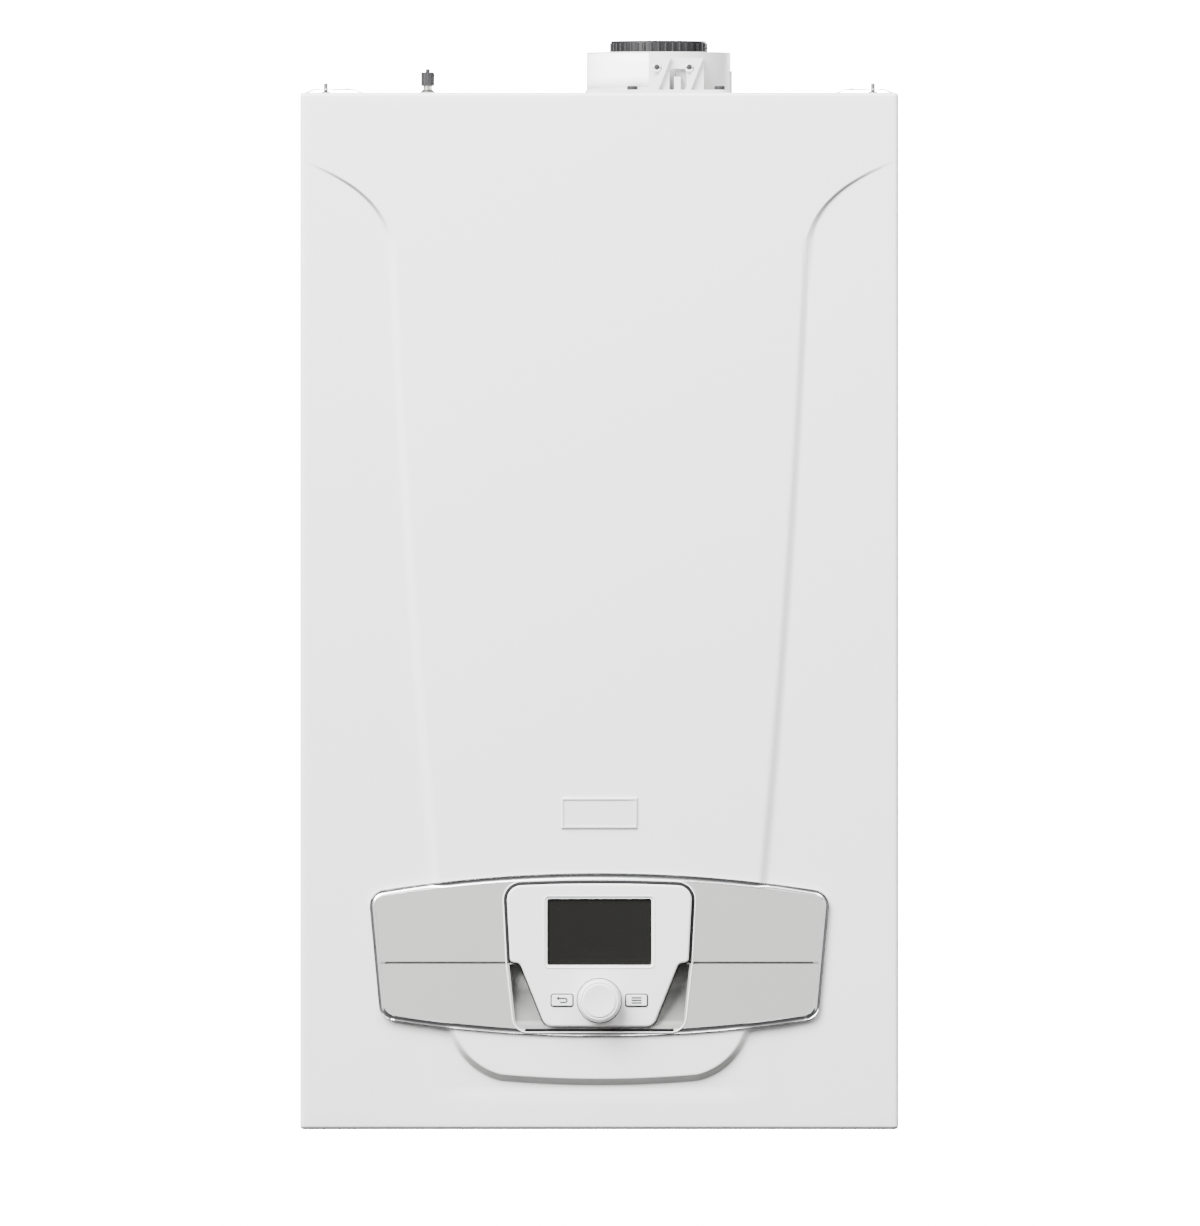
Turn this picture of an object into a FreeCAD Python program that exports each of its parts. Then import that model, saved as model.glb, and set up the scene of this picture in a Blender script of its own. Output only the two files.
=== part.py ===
"""Wall-hung condensing gas boiler: a sheet-steel casing with a lift-off pressed front panel, a fold-down
control box with a pull-off control unit, and the burner, water and flue parts that the casing holds.

Frame: X to the right, Y towards the wall, Z up, in millimetres. The wall is the plane Y = 0 and the
casing's lower edge is Z = 0, so the origin is on the wall at the foot of the casing's centre line.
"""
import FreeCAD
import Part
import math
import os

V = FreeCAD.Vector
X_AXIS = V(1, 0, 0)
Y_AXIS = V(0, 1, 0)
Z_AXIS = V(0, 0, 1)
TINY = 1e-4

# Casing
CASE_WIDTH = 450.0
CASE_HEIGHT = 780.0
CASE_DEPTH = 345.0             # wall to the raised face of the front panel
SHEET = 1.0                    # sheet steel of the casing and the front panel
LIP = 15.0                     # folded lips along the casing's edges
EDGE_GAP = 0.3                 # between sheets that meet edge to edge
PANEL_RETURN = 40.0            # depth of the front panel's folded sides
PANEL_PLAY = 0.7               # between the panel's sides and the casing edge inside them
SEAM_GAP = 2.0                 # visible seam behind the panel's sides
LIP_SETBACK = 12.0             # casing's front lips behind the panel's face
BACK_PRESS = 5.0               # pressed field of the back panel
BACK_RIM = 40.0                # flat rim of the back panel beside that field
BACK_HEAD = 75.0               # flat rim above it, with the hook slots
SLOT_WIDTH = 34.0
SLOT_HEIGHT = 14.0
SLOT_SPACING = 220.0
SLOT_DROP = 38.0               # hook slots below the casing's top
BOTTOM_LEVEL = 27.0            # upper face of the bottom panel
BOTTOM_FLANGE = 12.0
SEAL_WIDTH = 12.0
SEAL_THICK = 6.8

# Front panel
PANEL_EDGE_RADIUS = 3.0
RELIEF = 4.0                   # side fields and foot strip below the raised shield
RELIEF_SLOPE = 5.0             # width of the sloping step round the shield
FIELD_RUN = 88.0               # over this width each side field falls from the panel's edge
OUTLINE_MARGIN = 12.0          # the shield's outline starts this far outside the panel
SHOULDER_DROP = 46.0           # where the shield's outline leaves the panel, below its top
SHOULDER_REACH = 58.0
SHOULDER_FALL = 0.38
WAIST_INSET = 70.0             # shield's waist inside the panel's side
WAIST_DROP = 136.0
WAIST_REACH = 50.0
SIDE_BULGE = 4.5
FOOT_DRAW = 43.0               # shield's foot inside its waist
FOOT_RISE = 39.0
FOOT_BEND_DRAW = 12.0
FOOT_BEND_RISE = 15.5
BASE_DRAW = 38.0
BASE_LEVEL = 39.0
BASE_SAG = 3.3
BADGE_WIDTH = 57.4
BADGE_HEIGHT = 23.4
BADGE_THICK = 1.6
BADGE_RIM = 1.6
BADGE_LEVEL = 238.0
TAB_WIDTH = 44.0               # tabs over the casing's top that hold the panel to the studs
TAB_EDGE = 3.0                 # tabs inside the panel's side
TAB_RISE = 3.0
TAB_SLOPE = 8.0
TAB_OVERLAP = 8.0
TAB_REACH = 24.0
TAB_CLEAR = 0.4
STUD_INSET = 18.8
STUD_SETBACK = 52.0            # studs behind the panel's face
STUD_RADIUS = 1.5
STUD_HEIGHT = 7.7
STUD_COLLAR = 3.0
STUD_COLLAR_HEIGHT = 1.5
STUD_NOTCH_CLEAR = 2.0
PANEL_SCREW_INSET = 75.0
PANEL_SCREW_SETBACK = 27.0
PANEL_SCREW_RADIUS = 2.0
PANEL_SCREW_HEAD = 4.0
PANEL_SCREW_HEAD_HEIGHT = 2.2
PANEL_SCREW_LENGTH = 12.0

# Facia: grey band in a bright rim
FACIA_TOP = 191.7
FACIA_FOOT = 71.0
FACIA_INSET = 52.4             # facia's upper corners inside the panel's sides
FACIA_TAPER = 8.6
FACIA_TOP_CROWN = 14.4
FACIA_FOOT_CROWN = 13.3
FACIA_CORNER = 10.8
FACIA_GAP = 1.0                # all round, between the rim and the front panel
BAND_PROUD = 2.6               # band before the panel's raised face
TRIM_WIDTH = 5.0
TRIM_PROUD = 1.6               # rim before the band
TRIM_DEPTH = 14.0
TRIM_ROUND = 2.0
BAND_WALL = 2.5
GROOVE_LEVEL = 125.4
GROOVE_WIDTH = 1.8
GROOVE_DEPTH = 1.5

# Control unit
UNIT_PROUD = 3.4               # unit before the band
UNIT_TOP = 185.0
UNIT_TOP_CROWN = 1.9
UNIT_TOP_HALF = 70.0
UNIT_SIDE_HALF = 67.0
UNIT_FOOT = 77.5
UNIT_PLATE_HALF = 59.8         # lower plate at the level of the scoops' tops
UNIT_FOOT_HALF = 40.6
UNIT_CORNER = 11.0
UNIT_EAR_CORNER = 3.5
UNIT_NECK_CORNER = 5.0
UNIT_FOOT_CORNER = 8.0
UNIT_WALL = 2.0
UNIT_ROUND = 1.6
UNIT_DEPTH = 25.0
UNIT_GAP = 1.0                 # dark line between the unit and its pocket
POCKET_FOOT = 76.0
POCKET_FOOT_HALF = 61.5
POCKET_CORNER = 9.0
SCOOP_DEPTH = 15.0
DISPLAY_WIDTH = 78.5
DISPLAY_HEIGHT = 49.8
DISPLAY_LEVEL = 148.7
DISPLAY_LAP = 2.0              # glass behind the window's edges
DISPLAY_BEVEL = 1.2
DISPLAY_CORNER = 1.5
GLASS_THICK = 1.5
MODULE_THICK = 4.5
UNIT_BOARD_THICK = 1.6
UNIT_BOARD_DEPTH = 13.0        # board behind the unit's face
BOARD_POST_RADIUS = 2.5
KNOB_LEVEL = 97.0
KNOB_BASE_RADIUS = 16.5
KNOB_FACE_RADIUS = 12.4
KNOB_HEIGHT = 13.0
KNOB_SKIRT = 6.0
KNOB_DISH = 0.7
KNOB_TRAVEL = 1.0
KNOB_LIFT = 1.4                # knob's skirt before the unit's face
SPINDLE_RADIUS = 3.0
SPINDLE_CLEAR = 0.06
ROTOR_RADIUS = 5.2
ROTOR_CLEAR = 0.08
ENCODER_SIZE = 14.0
ENCODER_HEIGHT = 6.0
BUTTON_X = 28.0
BUTTON_LEVEL = 97.2
BUTTON_WIDTH = 15.5
BUTTON_HEIGHT = 8.3
BUTTON_CORNER = 1.2
BUTTON_PROUD = 1.2
BUTTON_CLEAR = 0.45
BUTTON_TRAVEL = 1.0
BUTTON_FLANGE = 1.4
BUTTON_STEM = 3.0
SWITCH_CLEAR = 0.4

# Control box and its hinge
BOX_INSET = 60.0
BOX_FOOT = 66.0
BOX_TOP = 187.0
BOX_FRONT_DEPTH = 21.0         # box behind the panel's raised face
BOX_DEPTH = 64.0
BOX_WALL = 2.5
BOX_CORNER = 7.0
COVER_THICK = 2.0
COVER_SLOTS = 9
COVER_SLOT_PITCH = 14.0
COVER_SLOT_WIDTH = 4.0
COVER_SLOT_LENGTH = 40.0
HINGE_DEPTH = 13.0             # hinge axis behind the panel's raised face
HINGE_LEVEL = 48.0
TRUNNION_RADIUS = 4.0
TRUNNION_CLEAR = 0.08
LUG_RADIUS = 6.5
LUG_THICK = 6.0
LUG_INSET = 17.0               # hinge lugs inside the box's ends
EAR_GAP = 1.0
EAR_THICK = 3.0
EAR_RADIUS = 7.5
RAIL_DEPTH = 30.0
RAIL_TOP = 40.0
RAIL_FOOT = 4.0
MAIN_BOARD_MARGIN = 25.0
MAIN_BOARD_HEIGHT = 92.0
MAIN_BOARD_THICK = 1.6
MAIN_BOARD_STAND = 14.0
MAIN_POST_RADIUS = 3.0

# Flue adapter on the casing's top
FLUE_X = 45.0
FLUE_DEPTH = 160.0             # flue centre line from the wall
FLUE_BORE = 30.4               # inner socket for a 60 mm exhaust pipe
FLUE_SOCKET_WALL = 3.4
FLUE_SPIGOT = 30.0
FLUE_SPIGOT_WALL = 3.0
SPIGOT_LENGTH = 34.0
SPIGOT_CLEAR = 0.3
ADAPTER_RADIUS = 54.5
ADAPTER_WALL = 3.5
ADAPTER_HEIGHT = 33.0
ADAPTER_FLANGE = 4.0
ADAPTER_FLANGE_HALF = 55.5
ADAPTER_FLANGE_FRONT = 66.0    # flange before the flue's centre line
ADAPTER_FLANGE_CORNER = 12.0
ADAPTER_WEBS = 6
AIR_HOLE_RADIUS = 46.0
SEAL_RING_RADIUS = 37.0
SEAL_RING_HEIGHT = 8.7
SEAL_RING_CLEAR = 0.4
SEAL_RIBS = 40
SEAL_RIB_RADIUS = 1.6
ADAPTER_LUG_WIDTH = 12.0       # lug on the collar's right side
ADAPTER_LUG_TOP = 19.0
TEST_BLOCK = (-6.0, 34.0)      # test-point housing, from the flue's centre line
TEST_BLOCK_TOP = 28.0
TEST_BLOCK_PROUD = 3.0
TEST_BLOCK_DEPTH = 25.0
TEST_RECESS = (8.0, 21.0)
TEST_RECESS_TOP = 20.0
TEST_RECESS_DEPTH = 8.0
TEST_LATCH = (11.5, 16.5)
TEST_LATCH_TOP = 14.0
TEST_LATCH_SET = 1.0
TEST_FIN_FOOT = -1.8           # fins beside the plugs: foot, lean and size
TEST_FIN_LEAN = 10.0
TEST_FIN_WIDTH = 4.6
TEST_FIN_PROUD = 4.0
TEST_PLUG_X = (-1.5, 23.0)
TEST_PLUG_LEVEL = 20.5
TEST_PLUG_RADIUS = 2.6
TEST_PLUG_HEAD = 3.4
TEST_PLUG_HEAD_LENGTH = 4.0
TEST_PLUG_LENGTH = 10.0
TEST_PLUG_CLEAR = 0.15
ADAPTER_SCREW_OFFSET = 46.0    # right and rear screws from the flue's centre line
ADAPTER_SCREW_LEFT = 20.0      # front left screw
ADAPTER_SCREW_FRONT = 58.5
SCREW_RADIUS = 2.0
SCREW_HEAD = 4.0
SCREW_HEAD_HEIGHT = 3.0

# Expansion vessel and its charge valve
VESSEL_SIDE_GAP = 12.0         # room round the vessel: casing's side, drum, panel's face and wall
VESSEL_DRUM_GAP = 25.0
VESSEL_FRONT_GAP = 25.0
VESSEL_REAR_GAP = 16.0
VESSEL_SHOULDER = 20.0
VESSEL_DROP = 190.0            # vessel's centre below the casing's top
VESSEL_SEAM = 5.0
VESSEL_WALL = 1.6
VESSEL_BRACKET = 36.0
VALVE_INSET = 24.0             # valve inside the vessel's inner face
VALVE_STEM = 3.3
VALVE_FOOT_RADIUS = 5.7
VALVE_FOOT_HEIGHT = 5.0
VALVE_CAP_LEVEL = 7.7          # cap's lower edge above the casing
VALVE_CAP_RADIUS = 5.1
VALVE_CAP_HEIGHT = 10.4
VALVE_CAP_FLUTES = 14
VALVE_CAP_FLUTE = 0.5
VALVE_TIP_RADIUS = 1.6
VALVE_TIP_HEIGHT = 2.5
VALVE_CAP_CLEAR = 0.1
VALVE_THREAD = 8.0

# Heat exchanger, burner and fan
DRUM_DROP = 190.0              # drum's centre line below the casing's top
DRUM_RADIUS = 122.0
DRUM_RIB = 4.0
DRUM_RIBS = 7
DRUM_RIB_WIDTH = 7.0
DRUM_WALL = 4.0
DRUM_REAR = 52.0               # from the wall
DRUM_DOME = 16.0
DRUM_MOUTH = 92.0
DRUM_FOOT_RADIUS = 9.0
DRUM_FOOT_SPACING = 130.0
COIL_INNER = 76.0
COIL_OUTER = 112.0
COIL_TURNS = 16
COIL_GROOVE = 3.0
COIL_REST = 0.3
DOOR_RADIUS = 106.0
DOOR_THICK = 12.0
DOOR_BOLT_CIRCLE = 99.0
DOOR_BOLTS = 6
DOOR_RIBS = 6
NUT_FLATS = 10.0
NUT_HEIGHT = 5.0
BURNER_RADIUS = 36.0
BURNER_WALL = 1.5
BURNER_REAR_GAP = 62.0
BURNER_FLANGE = 48.0
BURNER_FLANGE_THICK = 3.0
ELBOW_RADIUS = 30.0
ELBOW_WALL = 4.0
ELBOW_BEND = 36.0
ELBOW_REACH = 38.0             # elbow's downward leg before the door
ELBOW_ROOM = 21.0              # elbow's flange behind the panel's raised face
ELBOW_FLANGE = 42.0
ELBOW_FLANGE_THICK = 6.0
ELECTRODE_X = (-50.0, 50.0)
ELECTRODE_RISE = -36.0
ELECTRODE_RADIUS = 4.0
ELECTRODE_REACH = 26.0
ELECTRODE_FLANGE = 10.0
ELECTRODE_FLANGE_THICK = 3.0
ELECTRODE_CLEAR = 0.2
FAN_WIDTH = 62.0
FAN_RADIUS = 68.0
FAN_WALL = 3.0
FAN_DRUM_GAP = 6.0
FAN_DROP = 80.0                # fan axis below its outlet flange
FAN_EYE = 34.0
WHEEL_RADIUS = 56.0
WHEEL_BLADES = 20
WHEEL_BLADE_THICK = 1.6
WHEEL_INNER = 34.0
WHEEL_GAP = 4.0
WHEEL_DISC = 2.0
WHEEL_HUB = 11.0
FAN_SHAFT = 4.0
FAN_SHAFT_CLEAR = 0.08
FAN_SHAFT_GRIP = 18.0
MOTOR_RADIUS = 44.0
MOTOR_LENGTH = 50.0
MOTOR_FINS = 5
MOTOR_FIN_DEPTH = 4.0
MIXER_RADIUS = 41.0
MIXER_THROAT = 24.0
MIXER_LENGTH = 58.0
MIXER_FLANGE = 6.0
GAS_BOSS_RADIUS = 11.0
GAS_BOSS_LENGTH = 22.0
GAS_BOSS_OFFSET = 30.0

# Gas line
TAIL_PITCH = 65.0
TAIL_DEPTH = 180.0             # pipe connections from the wall
TAIL_FOOT = 12.0
TAIL_TOP = 50.0
TAIL_LARGE = 13.2              # G 3/4 thread
TAIL_SMALL = 10.4              # G 1/2 thread
TAIL_BORE = 0.62
TAIL_COLLAR = 5.0
TAIL_COLLAR_HEIGHT = 9.0
TAIL_CLEAR = 1.0
PIPE_RADIUS = 9.0
PIPE_WALL = 1.0
GAS_PIPE_RADIUS = 8.0
GAS_VALVE_LEVEL = 196.0
GAS_VALVE_HEIGHT = 84.0
GAS_VALVE_WIDTH = 78.0
GAS_VALVE_DEPTH = 84.0
GAS_VALVE_ROUND = 5.0
GAS_COIL_RADIUS = 15.0
GAS_COIL_HEIGHT = 30.0
UNION_RADIUS = 13.0
UNION_HEIGHT = 12.0

# Water groups
GROUP_RADIUS = 17.0
FLOW_GROUP_TOP = 150.0
BRANCH_RADIUS = 10.0
BRANCH_LEVEL = 74.0
PORT_RADIUS = 13.0
PLATE_PORT_LOW = 100.0
PLATE_PORT_HIGH = 132.0
PLATE_FRONT = 132.0            # plate exchanger's front face from the wall
PLATE_COUNT = 11
PLATE_PITCH = 5.0
PLATE_THICK = 3.0
PLATE_WIDTH = 200.0
PLATE_HEIGHT = 76.0
PLATE_LEVEL = 116.0
PLATE_CORNER = 14.0
PLATE_LAP = 3.0
DIVERTER_WIDTH = 46.0
DIVERTER_HEIGHT = 62.0
DIVERTER_DEPTH = 32.0
DIVERTER_LEVEL = 112.0
DIVERTER_SEAT = 36.0           # diverter's seat before the pipe centre line
VOLUTE_RADIUS = 42.0
VOLUTE_LEVEL = 140.0
VOLUTE_FRONT = 199.0           # from the wall
VOLUTE_THICK = 44.0
PUMP_RADIUS = 40.0
PUMP_LENGTH = 56.0
PUMP_FINS = 24
PUMP_FIN = 3.0
PUMP_OUTLET_TOP = 200.0
RELIEF_X = 92.0
RELIEF_RADIUS = 11.0
RELIEF_REACH = 40.0
RELIEF_KNOB_RADIUS = 14.0
RELIEF_KNOB_LENGTH = 18.0
RELIEF_STEM = 3.0
RELIEF_CLEAR = 0.08
FLOW_PORT_X = -70.0            # water and drain ports from the drum's centre line
RETURN_PORT_X = 78.0
PORT_DEPTH = 112.0             # water ports from the wall
PORT_DROP = 32.0
PIPE_BEND = 20.0
FLOW_PIPE_DROP = 178.0         # level runs of the pipes below the drum's centre line
FLOW_PIPE_SET = 232.0
RETURN_PIPE_INSET = 29.0
RETURN_PIPE_DROP = 170.0
RETURN_PIPE_SET = 232.0
VESSEL_PIPE_RADIUS = 6.0
VESSEL_PIPE_OFFSET = 36.0      # vessel's pipe beside the flow group
VESSEL_PIPE_LEVEL = 134.0
VESSEL_PIPE_BEND = 10.0
VESSEL_PORT = 9.0
VESSEL_PORT_LENGTH = 16.0
TRAP_INSET = 41.0
TRAP_DEPTH = 62.0
TRAP_RADIUS = 24.0
TRAP_TOP = 176.0
TRAP_WALL = 2.5
TRAP_SPIGOT = 10.7
TRAP_RINGS = 5
DRAIN_PORT_X = 30.0
DRAIN_RADIUS = 10.0
DRAIN_DROP = 260.0
DRAIN_BEND = 26.0
GLAND_INSET = 45.0
GLAND_DEPTH = 120.0
GLAND_RADIUS = 9.0
GLAND_BORE = 4.5
GLAND_NUT = 13.0
GLAND_LENGTH = 16.0

# Places worked out from the sizes above
HALF = CASE_WIDTH / 2
FACE = -CASE_DEPTH
WAIST_HALF = HALF - WAIST_INSET
FOOT_HALF = WAIST_HALF - FOOT_DRAW
FOOT_LEVEL = BASE_LEVEL + FOOT_RISE
BASE_HALF = FOOT_HALF - BASE_DRAW
TAB_OUTER = HALF - TAB_EDGE
TAB_INNER = TAB_OUTER - TAB_WIDTH
STUD_X = HALF - STUD_INSET
PANEL_SCREW_X = HALF - PANEL_SCREW_INSET
FACIA_TOP_HALF = HALF - FACIA_INSET
FACIA_FOOT_HALF = FACIA_TOP_HALF - FACIA_TAPER
BOX_HALF = HALF - BOX_INSET
LUG_X = BOX_HALF - LUG_INSET
MAIN_BOARD_WIDTH = 2 * (BOX_HALF - MAIN_BOARD_MARGIN)
SEAM = FACE + PANEL_RETURN
STEP_IN = SHEET + PANEL_PLAY
STEP_BACK = SEAM + SEAM_GAP
EDGE_HALF = HALF - STEP_IN
EDGE_TOP = CASE_HEIGHT - STEP_IN
LIP_FRONT = FACE + LIP_SETBACK
RAIL_BACK = LIP_FRONT + RAIL_DEPTH
RAIL_HALF = EDGE_HALF - LIP - EDGE_GAP
BACK_FIELD = -BACK_PRESS - SHEET
BAND_FACE = FACE - BAND_PROUD
TRIM_FACE = BAND_FACE - TRIM_PROUD
UNIT_FACE = BAND_FACE - UNIT_PROUD
UNIT_BACK = UNIT_FACE + UNIT_DEPTH
BOX_FRONT = FACE + BOX_FRONT_DEPTH
BOX_BACK = BOX_FRONT + BOX_DEPTH
HINGE_Y = FACE + HINGE_DEPTH
FLUE_Y = -FLUE_DEPTH
STUD_Y = FACE + STUD_SETBACK
DRUM_LEVEL = CASE_HEIGHT - DRUM_DROP
VESSEL_LEVEL = CASE_HEIGHT - VESSEL_DROP
VESSEL_RADIUS = (CASE_DEPTH - VESSEL_FRONT_GAP - VESSEL_REAR_GAP) / 2
VESSEL_Y = -VESSEL_REAR_GAP - VESSEL_RADIUS
VESSEL_OUTER = VESSEL_SIDE_GAP - HALF
VESSEL_INNER = FLUE_X - DRUM_RADIUS - DRUM_RIB - VESSEL_DRUM_GAP
VESSEL_MID = (VESSEL_OUTER + VESSEL_INNER) / 2
VALVE_PLACE = V(VESSEL_INNER - VALVE_INSET, VESSEL_Y, CASE_HEIGHT)
DRUM_BACK = -DRUM_REAR
DRUM_LENGTH = CASE_DEPTH - DRUM_REAR - DOOR_THICK - ELBOW_REACH - ELBOW_FLANGE - ELBOW_ROOM
BURNER_LENGTH = DRUM_LENGTH - BURNER_REAR_GAP
DRUM_FRONT = DRUM_BACK - DRUM_LENGTH
DOOR_FRONT = DRUM_FRONT - DOOR_THICK
ELBOW_Y = DOOR_FRONT - ELBOW_REACH
FAN_LEVEL = DRUM_LEVEL - DRUM_RADIUS - DRUM_RIB - FAN_DRUM_GAP - FAN_RADIUS
FAN_TOP = FAN_LEVEL + FAN_DROP
FAN_Y = ELBOW_Y - ELBOW_RADIUS + FAN_RADIUS
FAN_LEFT = FLUE_X - FAN_WIDTH / 2
FAN_RIGHT = FLUE_X + FAN_WIDTH / 2
TAIL_Y = -TAIL_DEPTH
FLOW_X = -2 * TAIL_PITCH
RETURN_X = 2 * TAIL_PITCH
FLOW_PIPE_TURN = DRUM_LEVEL - FLOW_PIPE_DROP
RETURN_PIPE_TURN = DRUM_LEVEL - RETURN_PIPE_DROP
RETURN_PIPE_X = HALF - RETURN_PIPE_INSET
DRAIN_TURN = DRUM_LEVEL - DRAIN_DROP
VESSEL_PIPE_X = FLOW_X - VESSEL_PIPE_OFFSET
GAS_BOSS_X = FAN_LEFT - GAS_BOSS_OFFSET
GAS_BOSS_FOOT = FAN_LEVEL - MIXER_RADIUS - GAS_BOSS_LENGTH
PORT_Y = -PORT_DEPTH
TRAP_PLACE = V(HALF - TRAP_INSET, -TRAP_DEPTH, BOTTOM_LEVEL)
GLAND_X = GLAND_INSET - HALF


def block(x, y, z):
    """A box between three (low, high) pairs."""
    return Part.makeBox(x[1] - x[0], y[1] - y[0], z[1] - z[0], V(x[0], y[0], z[0]))


def rod(radius, start, end):
    """A round bar between two points."""
    return Part.makeCylinder(radius, (end - start).Length, start, end - start)


def tube(outer, inner, start, end):
    """A straight pipe between two points."""
    return rod(outer, start, end).cut(rod(inner, start, end))


def prism(points, sweep):
    """A polygon carried along a vector."""
    return Part.Face(Part.makePolygon(points + points[:1])).extrude(sweep)


def spun(points, centre, axis):
    """A closed profile of points turned once about an axis."""
    return Part.Face(Part.makePolygon(points + points[:1])).revolve(centre, axis, 360)


def folded(path, sweep):
    """Sheet bent along a path, its thickness to the left of the path as seen against the sweep."""
    up = V(sweep).normalize()
    sides = [up.cross(b - a).normalize() for a, b in zip(path, path[1:])]
    mitres = [(a + b) * (1 / (1 + a.dot(b))) for a, b in zip(sides, sides[1:])]
    shifts = [sides[0]] + mitres + [sides[-1]]
    inner = [point + shift * SHEET for point, shift in zip(path, shifts)]
    return prism(path + inner[::-1], sweep)


def bent_rod(radius, points, bend):
    """A round bar along straight runs joined by arcs of one bend radius."""
    edges = []
    start = points[0]
    for before, corner, after in zip(points, points[1:], points[2:]):
        inward = (corner - before).normalize()
        outward = (after - corner).normalize()
        half_turn = inward.getAngle(outward) / 2
        reach = bend * math.tan(half_turn)
        towards = (outward - inward).normalize()
        middle = corner + towards * (bend / math.cos(half_turn) - bend)
        edges.append(Part.makeLine(start, corner - inward * reach))
        start = corner + outward * reach
        edges.append(Part.Arc(corner - inward * reach, middle, start).toShape())
    edges.append(Part.makeLine(start, points[-1]))
    section = Part.Wire(Part.makeCircle(radius, points[0], points[1] - points[0]))
    return Part.Wire(edges).makePipeShell([section], True, False)


def bent_pipe(radius, wall, points, bend):
    """A bent round pipe with its bore."""
    return bent_rod(radius, points, bend).cut(bent_rod(radius - wall, points, bend))


def joined(*shapes):
    """The union of several solids as one, with its split faces merged."""
    return shapes[0].multiFuse(list(shapes[1:])).removeSplitter()


def edges_along(shape, direction):
    """The straight edges of a solid that run along a direction."""
    lines = [e for e in shape.Edges if e.Curve.TypeId == "Part::GeomLine"]
    return [e for e in lines if abs(e.Curve.Direction.dot(direction)) > 1 - TINY]


def edge_near(shape, direction, point):
    """The straight edge along a direction that passes nearest to a point."""
    return min(edges_along(shape, direction), key=lambda e: (e.CenterOfMass - point).cross(direction).Length)


def edges_in_plane(shape, level, direction):
    """The edges of a solid that lie in the plane at a level along a direction."""
    def flat(edge):
        ends = [edge.valueAt(edge.FirstParameter + t * (edge.LastParameter - edge.FirstParameter))
                for t in (0, 0.37, 0.71, 1)]
        return all(abs(end.dot(direction) - level) < TINY for end in ends)
    return [edge for edge in shape.Edges if flat(edge)]


def mirrored(shape):
    """The left-hand twin of a right-hand solid."""
    return shape.mirror(V(0, 0, 0), X_AXIS)


def both_sides(shape):
    """A right-hand solid and its left-hand twin."""
    return [shape, mirrored(shape)]


def hexagon(flats, start, end):
    """A hexagonal bar along Y between two points."""
    radius = flats / math.sqrt(3)
    corners = [V(start.x + radius * math.cos(i * math.pi / 3), start.y, start.z + radius * math.sin(i * math.pi / 3))
               for i in range(6)]
    return prism(corners, end - start)


# Casing panels

def right_side_panel():
    """Right wall: rear lip, flat side, step in for the front panel's return, front lip."""
    path = [V(EDGE_HALF - LIP, LIP_FRONT, 0), V(EDGE_HALF, LIP_FRONT, 0),
            V(EDGE_HALF, STEP_BACK - STEP_IN, 0), V(HALF, STEP_BACK, 0),
            V(HALF, -SHEET, 0), V(HALF - LIP, -SHEET, 0)]
    wall = folded(path, V(0, 0, CASE_HEIGHT))
    inside = HALF - LIP - STEP_IN - SHEET
    head_seat = block((inside, HALF - SHEET), (FACE, 0), (CASE_HEIGHT - SHEET, CASE_HEIGHT))
    front_head = block((inside, HALF), (FACE, STEP_BACK), (EDGE_TOP, CASE_HEIGHT))
    front_seat = block((inside, EDGE_HALF - SHEET), (FACE, STEP_BACK), (EDGE_TOP - SHEET, CASE_HEIGHT))
    front_foot = block((inside, HALF), (FACE, STEP_BACK), (0, STEP_IN))
    return wall.cut(head_seat).cut(front_head).cut(front_seat).cut(front_foot)


def back_panel():
    """Wall plate: flat rim with two hook slots, and a field pressed forward to stiffen it."""
    def field(y, inset):
        x = HALF - BACK_RIM - inset
        low = BACK_RIM + inset
        high = CASE_HEIGHT - BACK_HEAD - inset
        return Part.makePolygon([V(-x, y, low), V(x, y, low), V(x, y, high), V(-x, y, high), V(-x, y, low)])
    plate = block((-HALF, HALF), (-SHEET, 0), (0, CASE_HEIGHT))
    raised = Part.makeLoft([field(-SHEET, 0), field(BACK_FIELD, BACK_PRESS)], True, True)
    hollow = Part.makeLoft([field(0, 0), field(-BACK_PRESS, BACK_PRESS)], True, True)
    slot_level = CASE_HEIGHT - SLOT_DROP
    slot = block((SLOT_SPACING / 2 - SLOT_WIDTH / 2, SLOT_SPACING / 2 + SLOT_WIDTH / 2), (-SHEET, 0),
                 (slot_level - SLOT_HEIGHT / 2, slot_level + SLOT_HEIGHT / 2))
    slot = slot.makeFillet(SLOT_HEIGHT / 4, edges_along(slot, Y_AXIS))
    panel = plate.fuse(raised).cut(hollow)
    for one in both_sides(slot):
        panel = panel.cut(one)
    return panel.removeSplitter()


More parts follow.
